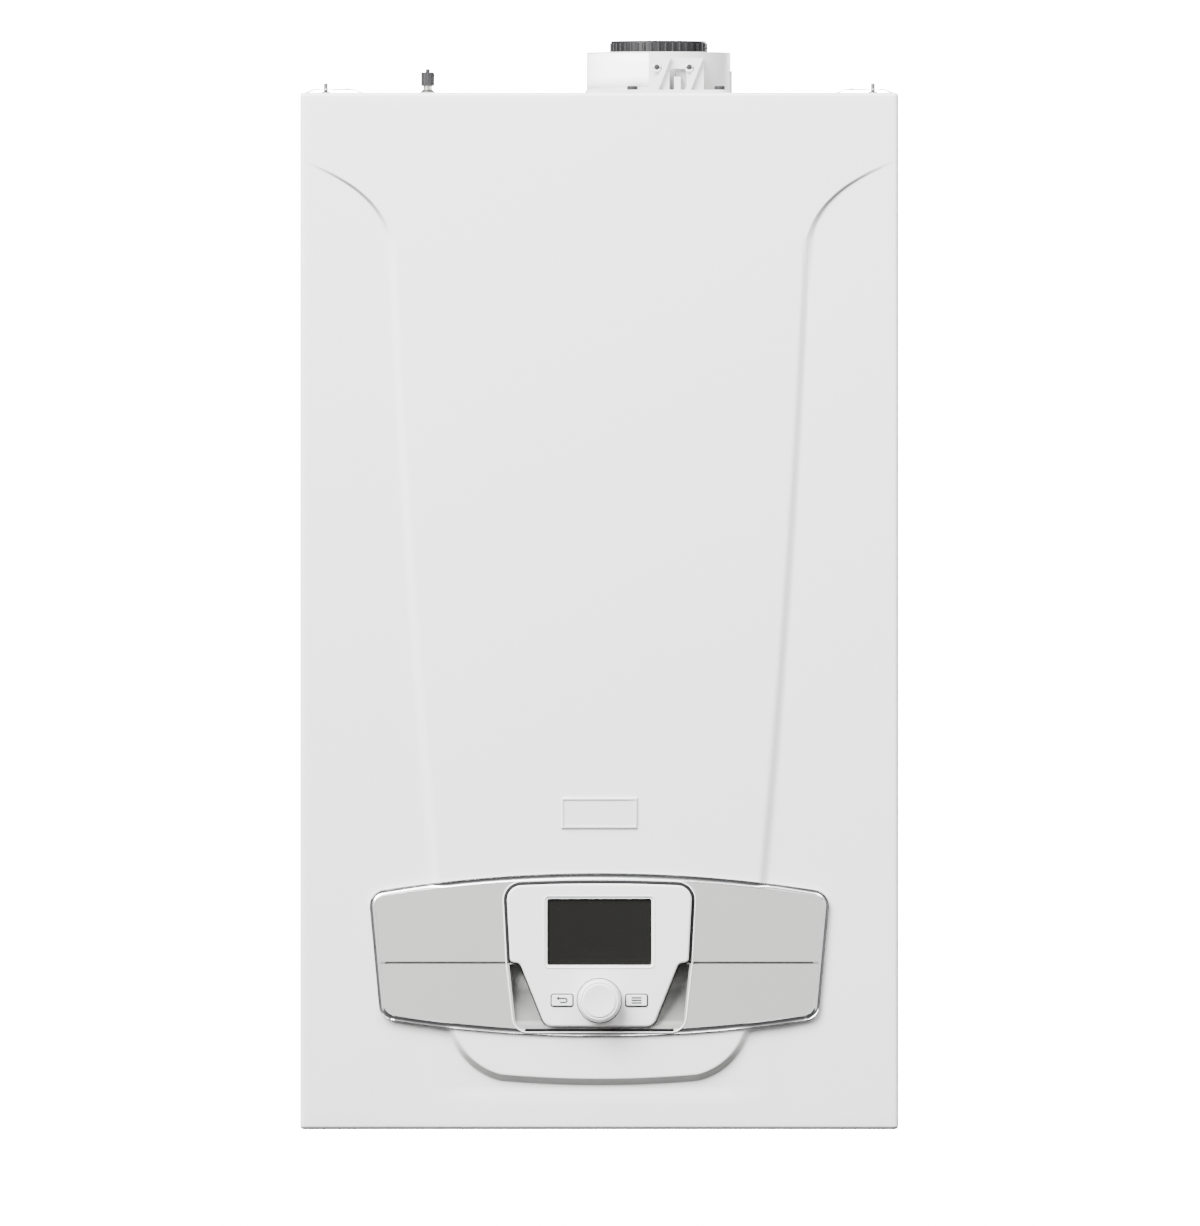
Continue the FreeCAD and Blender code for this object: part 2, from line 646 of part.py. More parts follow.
def top_panel():
    """Roof: rear lip, flat top, step down for the front panel's return, front lip; flue and valve holes."""
    x = -(HALF - SHEET)
    path = [V(x, -SHEET, CASE_HEIGHT - LIP), V(x, -SHEET, CASE_HEIGHT), V(x, STEP_BACK, CASE_HEIGHT),
            V(x, STEP_BACK - STEP_IN, EDGE_TOP), V(x, LIP_FRONT, EDGE_TOP), V(x, LIP_FRONT, EDGE_TOP - LIP)]
    roof = folded(path, V(-2 * x, 0, 0))
    low = CASE_HEIGHT - 2 * LIP
    rear_corner = block((HALF - LIP - EDGE_GAP, HALF), (-2 * SHEET - EDGE_GAP, 0), (low, CASE_HEIGHT - SHEET))
    front_corner = block((RAIL_HALF, HALF), (FACE, LIP_FRONT + SHEET + EDGE_GAP), (low, EDGE_TOP - SHEET))
    step_side = block((EDGE_HALF - SHEET, HALF), (FACE, STEP_BACK + SHEET / 2), (low, CASE_HEIGHT))
    for cutter in (rear_corner, front_corner, step_side):
        for one in both_sides(cutter):
            roof = roof.cut(one)
    drop = V(0, 0, -2 * SHEET)
    centre = V(FLUE_X, FLUE_Y, CASE_HEIGHT + SHEET)
    air_hole = rod(AIR_HOLE_RADIUS, centre, centre + drop * 2)
    valve = VALVE_PLACE + V(0, 0, SHEET)
    valve_hole = rod(VALVE_STEM + EDGE_GAP, valve, valve + drop * 2)
    return roof.cut(air_hole).cut(valve_hole)


def bottom_panel():
    """Floor of the casing with down-turned edges and a hole for each connection."""
    x = -(HALF - SHEET - EDGE_GAP)
    back = -2 * SHEET - EDGE_GAP
    front = RAIL_BACK + EDGE_GAP
    path = [V(x, back, BOTTOM_LEVEL - BOTTOM_FLANGE), V(x, back, BOTTOM_LEVEL),
            V(x, front, BOTTOM_LEVEL), V(x, front, BOTTOM_LEVEL - BOTTOM_FLANGE)]
    floor = folded(path, V(-2 * x, 0, 0))
    places = [(V(tail_x, TAIL_Y, 0), radius + TAIL_CLEAR) for tail_x, radius in tails()]
    places.append((V(TRAP_PLACE.x, TRAP_PLACE.y, 0), TRAP_SPIGOT + TAIL_CLEAR))
    places.append((V(GLAND_X, -GLAND_DEPTH, 0), GLAND_RADIUS + EDGE_GAP))
    for place, radius in places:
        floor = floor.cut(rod(radius, place, place + V(0, 0, BOTTOM_LEVEL + SHEET)))
    return floor


def hinge_rail():
    """Folded cross rail at the foot of the opening, with the two ears that carry the control box."""
    x = -RAIL_HALF
    path = [V(x, RAIL_BACK, RAIL_TOP), V(x, LIP_FRONT, RAIL_TOP),
            V(x, LIP_FRONT, RAIL_FOOT), V(x, RAIL_BACK, RAIL_FOOT)]
    rail = folded(path, V(-2 * x, 0, 0))
    ear_x = LUG_X + LUG_THICK + EAR_GAP
    centre = V(ear_x, HINGE_Y, HINGE_LEVEL)
    across = V(EAR_THICK, 0, 0)
    root = RAIL_TOP - SHEET
    foot = [V(ear_x, LIP_FRONT, root), V(ear_x, RAIL_BACK, root), V(ear_x, HINGE_Y + EAR_RADIUS, HINGE_LEVEL),
            V(ear_x, LIP_FRONT, HINGE_LEVEL)]
    ear = joined(prism(foot, across), rod(EAR_RADIUS, centre, centre + across))
    ear = ear.cut(block((ear_x, ear_x + EAR_THICK), (FACE, LIP_FRONT), (root - EAR_RADIUS, RAIL_TOP)))
    ear = ear.cut(rod(TRUNNION_RADIUS + TRUNNION_CLEAR, centre, centre + across))
    screw = V(PANEL_SCREW_X, FACE + PANEL_SCREW_SETBACK, 0)
    wide = PANEL_SCREW_RADIUS + EDGE_GAP + SHEET
    notch = joined(rod(wide, screw, screw + V(0, 0, RAIL_FOOT + 2 * SHEET)),
                   block((screw.x - wide, screw.x + wide), (FACE, screw.y), (0, RAIL_FOOT + 2 * SHEET)))
    tall = block((screw.x - wide, screw.x + wide), (FACE, screw.y), (0, PANEL_SCREW_LENGTH + SHEET))
    rail = joined(rail, *both_sides(ear))
    for one in both_sides(joined(notch, tall)):
        rail = rail.cut(one)
    return rail


def opening_seal():
    """Foam strip round the front opening, stuck to the lips."""
    def frame(inset):
        half = RAIL_HALF + (LIP + SEAL_WIDTH) / 2 - inset
        low = RAIL_FOOT + LIP / 3 + inset
        high = EDGE_TOP - (LIP - SEAL_WIDTH) / 2 - inset
        return block((-half, half), (LIP_FRONT - SEAL_THICK, LIP_FRONT), (low, high))
    strip = frame(0).cut(frame(SEAL_WIDTH))
    wide = PANEL_SCREW_RADIUS + EDGE_GAP + SHEET
    notch = block((PANEL_SCREW_X - wide, PANEL_SCREW_X + wide), (FACE, LIP_FRONT),
                  (0, PANEL_SCREW_LENGTH + SHEET))
    for one in both_sides(notch):
        strip = strip.cut(one)
    return strip


def locating_studs():
    """Two pins on the roof that the front panel's tabs drop behind."""
    foot = V(STUD_X, STUD_Y, CASE_HEIGHT)
    stud = joined(rod(STUD_RADIUS, foot, foot + V(0, 0, STUD_HEIGHT)),
                  rod(STUD_COLLAR, foot, foot + V(0, 0, STUD_COLLAR_HEIGHT)))
    return Part.makeCompound(both_sides(stud))


# Front panel

def shield_outline(grow, y):
    """Closed outline of the raised shield in the plane y, grown outwards by grow."""
    def at(x, z):
        return V(x, y, z)
    start_x = HALF + OUTLINE_MARGIN
    shoulder = CASE_HEIGHT - SHOULDER_DROP
    waist = CASE_HEIGHT - WAIST_DROP
    diagonal = grow * math.sqrt(0.5)
    poles = [at(start_x, shoulder - grow),
             at(start_x - SHOULDER_REACH, shoulder - SHOULDER_REACH * SHOULDER_FALL - grow),
             at(WAIST_HALF + grow, waist + WAIST_REACH - diagonal / 2),
             at(WAIST_HALF + grow, waist)]
    middle = at((WAIST_HALF + FOOT_HALF) / 2 + SIDE_BULGE + grow, (waist + FOOT_LEVEL) / 2)
    foot = at(FOOT_HALF + grow, FOOT_LEVEL)
    bend = at(FOOT_HALF - FOOT_BEND_DRAW + diagonal, BASE_LEVEL + FOOT_BEND_RISE - diagonal)
    base = at(BASE_HALF, BASE_LEVEL - grow)
    shoulder_curve = Part.BezierCurve()
    shoulder_curve.setPoles(poles)
    right = [Part.makeLine(at(start_x, CASE_HEIGHT + OUTLINE_MARGIN), poles[0]), shoulder_curve.toShape(),
             Part.Arc(poles[-1], middle, foot).toShape(), Part.Arc(foot, bend, base).toShape()]
    left = [edge.mirror(V(0, 0, 0), X_AXIS) for edge in right]
    sag = Part.Arc(base, at(0, BASE_LEVEL - BASE_SAG - grow), at(-BASE_HALF, BASE_LEVEL - grow)).toShape()
    roof = Part.makeLine(at(-start_x, CASE_HEIGHT + OUTLINE_MARGIN), at(start_x, CASE_HEIGHT + OUTLINE_MARGIN))
    return Part.Wire(Part.__sortEdges__(right + [sag] + left + [roof]))


def panel_form(inset, back):
    """The front panel's form as a solid: rounded tray, fallen side fields and raised shield."""
    half = HALF - inset
    face = FACE + inset
    tray = block((-half, half), (face, back), (inset, CASE_HEIGHT - inset))
    rim = edges_in_plane(tray, face, Y_AXIS) + edges_along(tray, Y_AXIS)
    tray = tray.makeFillet(PANEL_EDGE_RADIUS - inset, rim)
    over = OUTLINE_MARGIN
    field_half = HALF - FIELD_RUN
    proud = RELIEF * over / FIELD_RUN
    fields = prism([V(-HALF - over, face - proud, -over), V(-field_half, face + RELIEF, -over),
                    V(field_half, face + RELIEF, -over), V(HALF + over, face - proud, -over),
                    V(HALF + over, back, -over), V(-HALF - over, back, -over)],
                   V(0, 0, CASE_HEIGHT + 2 * over))
    root = 1.4
    shield = Part.makeLoft([shield_outline(-RELIEF_SLOPE / 2, face),
                            shield_outline(RELIEF_SLOPE * (root - 0.5), face + RELIEF * root)], True, True)
    return fields.fuse(shield).common(tray)


def panel_tab():
    """Right-hand raised tab on the panel's top return, open at the back round its stud."""
    front = SEAM - TAB_OVERLAP
    rise = CASE_HEIGHT + TAB_RISE
    profile = [V(TAB_INNER, front, CASE_HEIGHT), V(TAB_INNER + TAB_SLOPE, front, rise),
               V(TAB_OUTER - TAB_SLOPE, front, rise), V(TAB_OUTER, front, CASE_HEIGHT),
               V(TAB_OUTER - SHEET, front, CASE_HEIGHT - SHEET / 2),
               V(TAB_OUTER - TAB_SLOPE - SHEET / 2, front, rise - SHEET),
               V(TAB_INNER + TAB_SLOPE + SHEET / 2, front, rise - SHEET),
               V(TAB_INNER + SHEET, front, CASE_HEIGHT - SHEET / 2)]
    tab = prism(profile, V(0, TAB_OVERLAP + TAB_REACH, 0))
    tab = tab.cut(block((TAB_INNER, TAB_OUTER), (SEAM, SEAM + TAB_REACH), (0, CASE_HEIGHT + TAB_CLEAR)))
    wide = STUD_COLLAR + STUD_NOTCH_CLEAR
    notch = block((STUD_X - wide, STUD_X + wide), (STUD_Y - wide, SEAM + TAB_REACH), (CASE_HEIGHT, rise))
    return tab.cut(notch)


def front_panel():
    """Pressed steel front with folded sides, the facia's opening, two tabs and two screw holes."""
    panel = panel_form(0, SEAM).cut(panel_form(SHEET, SEAM + SHEET))
    panel = panel.cut(facia_block(FACIA_GAP, FACE - PANEL_RETURN, SEAM))
    panel = joined(panel, *both_sides(panel_tab()))
    screw = V(PANEL_SCREW_X, FACE + PANEL_SCREW_SETBACK, 0)
    for one in both_sides(rod(PANEL_SCREW_RADIUS + EDGE_GAP / 3, screw, screw + V(0, 0, 2 * SHEET))):
        panel = panel.cut(one)
    return panel


def panel_screws():
    """Two pan-head screws up through the panel's lower return."""
    place = V(PANEL_SCREW_X, FACE + PANEL_SCREW_SETBACK, 0)
    head = rod(PANEL_SCREW_HEAD, place - V(0, 0, PANEL_SCREW_HEAD_HEIGHT), place)
    head = head.makeFillet(PANEL_SCREW_HEAD_HEIGHT / 2,
                           edges_in_plane(head, -PANEL_SCREW_HEAD_HEIGHT, Z_AXIS))
    screw = joined(head, rod(PANEL_SCREW_RADIUS, place, place + V(0, 0, PANEL_SCREW_LENGTH)))
    return Part.makeCompound(both_sides(screw))


def badge_plate():
    """Bare badge plate: a shallow rim round a plain field."""
    def plate(inset, front, back):
        half = BADGE_WIDTH / 2 - inset
        rise = BADGE_HEIGHT / 2 - inset
        return block((-half, half), (front, back), (BADGE_LEVEL - rise, BADGE_LEVEL + rise))
    body = plate(0, FACE - BADGE_THICK, FACE)
    body = body.makeChamfer(BADGE_THICK / 2, edges_in_plane(body, FACE - BADGE_THICK, Y_AXIS))
    return body.cut(plate(BADGE_RIM, FACE - BADGE_THICK, FACE - BADGE_THICK / 2))


# Facia and control unit

def facia_block(grow, front, back):
    """Solid of the facia's outline, grown by grow: arched top and foot, slanting ends, round corners."""
    top_x = FACIA_TOP_HALF + grow
    foot_x = FACIA_FOOT_HALF + grow
    top_z = FACIA_TOP - FACIA_TOP_CROWN + grow
    foot_z = FACIA_FOOT + FACIA_FOOT_CROWN - grow
    head = Part.Arc(V(-top_x, front, top_z), V(0, front, FACIA_TOP + grow), V(top_x, front, top_z)).toShape()
    foot = Part.Arc(V(foot_x, front, foot_z), V(0, front, FACIA_FOOT - grow), V(-foot_x, front, foot_z)).toShape()
    right = Part.makeLine(V(top_x, front, top_z), V(foot_x, front, foot_z))
    left = Part.makeLine(V(-foot_x, front, foot_z), V(-top_x, front, top_z))
    body = Part.Face(Part.Wire([head, right, foot, left])).extrude(V(0, back - front, 0))
    return body.makeFillet(FACIA_CORNER + grow, edges_along(body, Y_AXIS))


def unit_arch(grow, front):
    """Arched top edge that the control unit and its pocket share."""
    top_z = UNIT_TOP - UNIT_TOP_CROWN + grow
    top_x = UNIT_TOP_HALF + grow
    return Part.Arc(V(-top_x, front, top_z), V(0, front, UNIT_TOP + grow), V(top_x, front, top_z)).toShape()


def outlined(arch, points, depth, corners):
    """Solid from an arched top and the points of its right half, mirrored, with rounded corners."""
    left = [V(-point.x, point.y, point.z) for point in points[::-1]]
    ends = [arch.Vertexes[-1].Point] + points + left + [arch.Vertexes[0].Point]
    lines = [Part.makeLine(a, b) for a, b in zip(ends, ends[1:])]
    body = Part.Face(Part.Wire([arch] + lines)).extrude(V(0, depth, 0))
    for point, radius in corners:
        twins = [point, V(-point.x, point.y, point.z)]
        body = body.makeFillet(radius, [edge_near(body, Y_AXIS, twin) for twin in twins])
    return body


def unit_block(grow, front, back):
    """Solid of the control unit's outline: wide head, two ears over the scoops, tapering lower plate."""
    slant = (UNIT_PLATE_HALF - UNIT_FOOT_HALF) / (GROOVE_LEVEL - UNIT_FOOT)
    widen = grow * math.sqrt(1 + slant * slant)
    ear_z = GROOVE_LEVEL - grow
    foot_z = UNIT_FOOT - grow
    ear = V(UNIT_SIDE_HALF + grow, front, ear_z)
    neck = V(UNIT_PLATE_HALF - slant * grow + widen, front, ear_z)
    foot = V(UNIT_FOOT_HALF - slant * grow + widen, front, foot_z)
    arch = unit_arch(grow, front)
    corners = [(arch.Vertexes[-1].Point, UNIT_CORNER + grow), (ear, UNIT_EAR_CORNER + grow),
               (neck, UNIT_NECK_CORNER - grow), (foot, UNIT_FOOT_CORNER + grow)]
    return outlined(arch, [ear, neck, foot], back - front, corners)


def pocket_block(grow, front, back):
    """Solid of the pocket in the band: the unit's head, and a foot that takes in both finger scoops."""
    side = V(UNIT_SIDE_HALF + grow, front, GROOVE_LEVEL)
    foot = V(POCKET_FOOT_HALF + grow, front, POCKET_FOOT - grow)
    arch = unit_arch(grow, front)
    corners = [(arch.Vertexes[-1].Point, UNIT_CORNER + grow), (foot, POCKET_CORNER + grow)]
    return outlined(arch, [side, foot], back - front, corners)


def facia_band():
    """Moulded band: a shell with a groove along each wing and a pocket with two scooped finger recesses."""
    shell = facia_block(-TRIM_WIDTH, BAND_FACE, BOX_FRONT)
    shell = shell.cut(facia_block(-TRIM_WIDTH - BAND_WALL, BAND_FACE + BAND_WALL, BOX_FRONT))
    groove = block((-FACIA_TOP_HALF, FACIA_TOP_HALF), (BAND_FACE - GROOVE_DEPTH, BAND_FACE + GROOVE_DEPTH),
                   (GROOVE_LEVEL - GROOVE_WIDTH / 2, GROOVE_LEVEL + GROOVE_WIDTH / 2))
    tub = pocket_block(UNIT_GAP + BAND_WALL, BAND_FACE, BOX_FRONT)
    tub = tub.common(facia_block(-TRIM_WIDTH, BAND_FACE, BOX_FRONT))
    band = joined(shell.cut(groove), tub)
    height = GROOVE_LEVEL - POCKET_FOOT
    radius = (height * height + SCOOP_DEPTH * SCOOP_DEPTH) / (2 * SCOOP_DEPTH)
    axis_y = BAND_FACE + SCOOP_DEPTH - radius
    round_floor = rod(radius, V(-FACIA_TOP_HALF, axis_y, GROOVE_LEVEL), V(FACIA_TOP_HALF, axis_y, GROOVE_LEVEL))
    below = block((-FACIA_TOP_HALF, FACIA_TOP_HALF), (FACE - PANEL_RETURN, BOX_FRONT),
                  (FACIA_FOOT, GROOVE_LEVEL - UNIT_GAP))
    scoops = pocket_block(UNIT_GAP, BAND_FACE - UNIT_PROUD, BOX_FRONT).common(round_floor).common(below)
    floor = UNIT_BACK + UNIT_GAP / 2
    return band.cut(unit_block(UNIT_GAP, UNIT_FACE, floor)).cut(scoops)


def facia_trim():
    """Bright rim round the band, its front edges rounded over."""
    ring = facia_block(0, TRIM_FACE, TRIM_FACE + TRIM_DEPTH)
    ring = ring.cut(facia_block(-TRIM_WIDTH, TRIM_FACE, TRIM_FACE + TRIM_DEPTH))
    return ring.makeFillet(TRIM_ROUND, edges_in_plane(ring, TRIM_FACE, Y_AXIS))


def display_block(grow, front, back):
    """Rounded rectangle of the display, grown by grow."""
    half = DISPLAY_WIDTH / 2 + grow
    rise = DISPLAY_HEIGHT / 2 + grow
    body = block((-half, half), (front, back), (DISPLAY_LEVEL - rise, DISPLAY_LEVEL + rise))
    return body.makeFillet(DISPLAY_CORNER, edges_along(body, Y_AXIS))


def button_block(grow, front, back):
    """Rounded rectangle of the right-hand button, grown by grow."""
    half = BUTTON_WIDTH / 2 + grow
    rise = BUTTON_HEIGHT / 2 + grow
    body = block((BUTTON_X - half, BUTTON_X + half), (front, back), (BUTTON_LEVEL - rise, BUTTON_LEVEL + rise))
    return body.makeFillet(BUTTON_CORNER, edges_along(body, Y_AXIS))


def board_posts():
    """Places of the posts that hold the unit's board."""
    high = UNIT_TOP - UNIT_CORNER
    low = UNIT_FOOT + UNIT_FOOT_CORNER - UNIT_WALL
    return [(side * x, z) for side in (-1, 1)
            for x, z in ((UNIT_TOP_HALF - UNIT_CORNER, high), (UNIT_FOOT_HALF / 2, low))]


def unit_front():
    """Moulded front of the control unit: window with a bevelled edge, spindle hole and button holes."""
    shell = unit_block(0, UNIT_FACE, UNIT_BACK)
    shell = shell.makeFillet(UNIT_ROUND, edges_in_plane(shell, UNIT_FACE, Y_AXIS))
    inner_face = UNIT_FACE + UNIT_WALL
    shell = shell.cut(unit_block(-UNIT_WALL, inner_face, UNIT_BACK))
    window = display_block(0, UNIT_FACE, inner_face)
    window = window.fuse(display_block(DISPLAY_BEVEL, UNIT_FACE, UNIT_FACE + DISPLAY_BEVEL / 2))
    spindle = V(0, UNIT_FACE, KNOB_LEVEL)
    hole = rod(SPINDLE_RADIUS + BUTTON_CLEAR, spindle, spindle + V(0, UNIT_WALL, 0))
    shell = shell.cut(window).cut(hole)
    for one in both_sides(button_block(BUTTON_CLEAR, UNIT_FACE, inner_face)):
        shell = shell.cut(one)
    posts = [rod(BOARD_POST_RADIUS, V(x, inner_face - UNIT_WALL / 2, z), V(x, UNIT_FACE + UNIT_BOARD_DEPTH, z))
             for x, z in board_posts()]
    return joined(shell, *posts)


def unit_rear():
    """Back cover of the control unit, with the slot of its plug contacts."""
    cover = unit_block(-UNIT_WALL - EDGE_GAP, UNIT_BACK - UNIT_WALL, UNIT_BACK)
    slot = block((-SLOT_WIDTH / 2, SLOT_WIDTH / 2), (UNIT_BACK - UNIT_WALL, UNIT_BACK),
                 (DISPLAY_LEVEL - SLOT_HEIGHT / 4, DISPLAY_LEVEL + SLOT_HEIGHT / 4))
    spacers = [rod(BOARD_POST_RADIUS, V(x, UNIT_FACE + UNIT_BOARD_DEPTH + UNIT_BOARD_THICK, z),
                   V(x, UNIT_BACK - UNIT_WALL / 2, z)) for x, z in board_posts()]
    return joined(cover.cut(slot), *spacers)


def display_window():
    """Dark glass behind the window."""
    front = UNIT_FACE + UNIT_WALL
    return display_block(DISPLAY_LAP, front, front + GLASS_THICK)


def display_module():
    """Display panel in its tray, behind the glass, with its cable tail."""
    front = UNIT_FACE + UNIT_WALL + GLASS_THICK
    tray = display_block(0, front, front + MODULE_THICK)
    foot = block((-SLOT_WIDTH / 2, SLOT_WIDTH / 2), (front + MODULE_THICK, UNIT_FACE + UNIT_BOARD_DEPTH),
                 (DISPLAY_LEVEL - MODULE_THICK, DISPLAY_LEVEL + MODULE_THICK))
    return joined(tray, foot)


def unit_board():
    """Board of the control unit with the encoder's housing and the two switches on it."""
    front = UNIT_FACE + UNIT_BOARD_DEPTH
    board = unit_block(-UNIT_WALL - EDGE_GAP, front, front + UNIT_BOARD_THICK)
    half = ENCODER_SIZE / 2
    housing = block((-half, half), (front - ENCODER_HEIGHT, front), (KNOB_LEVEL - half, KNOB_LEVEL + half))
    centre = V(0, front, KNOB_LEVEL)
    bore = rod(ROTOR_RADIUS + ROTOR_CLEAR, centre - V(0, ENCODER_HEIGHT, 0), centre)
    stem_end = UNIT_FACE + UNIT_WALL + BUTTON_FLANGE + BUTTON_STEM + BUTTON_TRAVEL
    switch = block((BUTTON_X - BUTTON_STEM, BUTTON_X + BUTTON_STEM), (stem_end + SWITCH_CLEAR, front),
                   (BUTTON_LEVEL - BUTTON_STEM, BUTTON_LEVEL + BUTTON_STEM))
    return joined(board, housing.cut(bore), *both_sides(switch))


def encoder_rotor():
    """Detent ring that turns in the encoder's housing and lets the spindle slide through."""
    front = UNIT_FACE + UNIT_BOARD_DEPTH - ENCODER_HEIGHT
    back = UNIT_FACE + UNIT_BOARD_DEPTH - ROTOR_CLEAR
    return tube(ROTOR_RADIUS, SPINDLE_RADIUS + SPINDLE_CLEAR, V(0, front, KNOB_LEVEL), V(0, back, KNOB_LEVEL))


def knob():
    """Turn-and-press knob: dished face, tapering side, straight skirt, spindle moulded on behind."""
    base = UNIT_FACE - KNOB_LIFT
    face = base - KNOB_HEIGHT
    shoulder = (KNOB_BASE_RADIUS - KNOB_FACE_RADIUS) / 2
    spindle_end = UNIT_FACE + UNIT_BOARD_DEPTH - KNOB_TRAVEL - ROTOR_CLEAR

    def at(radius, y):
        return V(radius, y, KNOB_LEVEL)
    edges = [Part.Arc(at(0, face + KNOB_DISH), at(KNOB_FACE_RADIUS / 2, face + KNOB_DISH * 0.75),
                      at(KNOB_FACE_RADIUS, face)).toShape(),
             Part.Arc(at(KNOB_FACE_RADIUS, face), at(KNOB_FACE_RADIUS + shoulder, face + shoulder / 2),
                      at(KNOB_BASE_RADIUS - shoulder / 2, base - KNOB_SKIRT)).toShape()]
    rest = [at(KNOB_BASE_RADIUS - shoulder / 2, base - KNOB_SKIRT), at(KNOB_BASE_RADIUS, base),
            at(SPINDLE_RADIUS, base), at(SPINDLE_RADIUS, spindle_end), at(0, spindle_end),
            at(0, face + KNOB_DISH)]
    edges += [Part.makeLine(a, b) for a, b in zip(rest, rest[1:])]
    return Part.Face(Part.Wire(edges)).revolve(V(0, 0, KNOB_LEVEL), Y_AXIS, 360)


def right_button():
    """Push button: rounded cap, flange behind the unit's wall, stem towards its switch."""
    behind = UNIT_FACE + UNIT_WALL + EDGE_GAP / 3
    cap = button_block(0, UNIT_FACE - BUTTON_PROUD, behind)
    cap = cap.makeFillet(BUTTON_PROUD / 2, edges_in_plane(cap, UNIT_FACE - BUTTON_PROUD, Y_AXIS))
    flange = button_block(BUTTON_FLANGE, behind, behind + BUTTON_FLANGE)
    end = UNIT_FACE + UNIT_WALL + BUTTON_FLANGE + BUTTON_STEM
    stem = rod(BUTTON_STEM, V(BUTTON_X, behind, BUTTON_LEVEL), V(BUTTON_X, end, BUTTON_LEVEL))
    return joined(cap, flange, stem)


# Control box

def box_block(inset, front, back):
    """Rounded block of the control box's outline, drawn in by inset."""
    half = BOX_HALF - inset
    body = block((-half, half), (front, back), (BOX_FOOT + inset, BOX_TOP - inset))
    return body.makeFillet(BOX_CORNER - inset, edges_along(body, Y_AXIS))


def main_board_posts():
    """Places of the posts that hold the main board."""
    middle = (BOX_FOOT + BOX_TOP) / 2
    x = MAIN_BOARD_WIDTH / 2 - 2 * MAIN_POST_RADIUS
    z = MAIN_BOARD_HEIGHT / 2 - 2 * MAIN_POST_RADIUS
    return [(sx * x, middle + sz * z) for sx in (-1, 1) for sz in (-1, 1)]


def control_box():
    """Moulded tray behind the facia, with two hinge lugs and their trunnions."""
    tray = box_block(0, BOX_FRONT, BOX_BACK).cut(box_block(BOX_WALL, BOX_FRONT + BOX_WALL, BOX_BACK))
    seat = BOX_FRONT + BOX_WALL
    posts = [rod(MAIN_POST_RADIUS, V(x, seat - BOX_WALL / 2, z), V(x, seat + MAIN_BOARD_STAND, z))
             for x, z in main_board_posts()]
    centre = V(LUG_X, HINGE_Y, HINGE_LEVEL)
    across = V(LUG_THICK, 0, 0)
    arm = prism([V(LUG_X, HINGE_Y - LUG_RADIUS, HINGE_LEVEL), V(LUG_X, HINGE_Y + LUG_RADIUS, HINGE_LEVEL),
                 V(LUG_X, BOX_FRONT + 4 * LUG_RADIUS, BOX_FOOT + BOX_WALL / 2),
                 V(LUG_X, BOX_FRONT, BOX_FOOT + BOX_WALL / 2), V(LUG_X, BOX_FRONT, BOX_FOOT)], across)
    pin = rod(TRUNNION_RADIUS, centre, centre + across + V(EAR_GAP + EAR_THICK + EAR_GAP, 0, 0))
    lug = joined(arm, rod(LUG_RADIUS, centre, centre + across), pin)
    return joined(tray, *posts, *both_sides(lug))


def control_box_cover():
    """Rear cover of the control box with a row of cooling slots."""
    cover = box_block(0, BOX_BACK, BOX_BACK + COVER_THICK)
    middle = (BOX_FOOT + BOX_TOP) / 2
    for i in range(COVER_SLOTS):
        x = (i - (COVER_SLOTS - 1) / 2) * COVER_SLOT_PITCH
        cover = cover.cut(block((x - COVER_SLOT_WIDTH / 2, x + COVER_SLOT_WIDTH / 2),
                                (BOX_BACK, BOX_BACK + COVER_THICK),
                                (middle - COVER_SLOT_LENGTH / 2, middle + COVER_SLOT_LENGTH / 2)))
    return cover


def main_board():
    """Main board on its posts, with transformer, relays and plug sockets."""
    front = BOX_FRONT + BOX_WALL + MAIN_BOARD_STAND
    back = front + MAIN_BOARD_THICK
    middle = (BOX_FOOT + BOX_TOP) / 2
    half = MAIN_BOARD_WIDTH / 2
    rise = MAIN_BOARD_HEIGHT / 2
    board = block((-half, half), (front, back), (middle - rise, middle + rise))
    room = BOX_BACK - back
    transformer = block((half * 0.5, half * 0.8), (back, back + room * 0.8), (middle - rise * 0.4, middle + rise * 0.5))
    relays = [block((x, x + half * 0.14), (back, back + room * 0.45), (middle + rise * 0.3, middle + rise * 0.75))
              for x in (-half * 0.1, half * 0.1, half * 0.3)]
    sockets = [block((x, x + half * 0.16), (back, back + room * 0.35), (middle - rise * 0.9, middle - rise * 0.65))
               for x in (-half * 0.8, -half * 0.55, -half * 0.3, -half * 0.05, half * 0.2)]
    smoothing = rod(rise * 0.2, V(-half * 0.5, back, middle + rise * 0.3),
                    V(-half * 0.5, back + room * 0.6, middle + rise * 0.3))
    return joined(board, transformer, smoothing, *relays, *sockets)


# Flue adapter and the parts on the roof

def flue_at(level):
    """Point on the flue's centre line."""
    return V(FLUE_X, FLUE_Y, CASE_HEIGHT + level)


def test_plug_places():
    """Front end of each test point, on the flat of the adapter's housing."""
    face = FLUE_Y - ADAPTER_RADIUS - TEST_BLOCK_PROUD
    return [V(FLUE_X + x, face, CASE_HEIGHT + TEST_PLUG_LEVEL) for x in TEST_PLUG_X]


def adapter_block(x, y, top):
    """A box on the flange, from (low, high) pairs beside the flue's centre line."""
    return block((FLUE_X + x[0], FLUE_X + x[1]), y, (CASE_HEIGHT, CASE_HEIGHT + top))


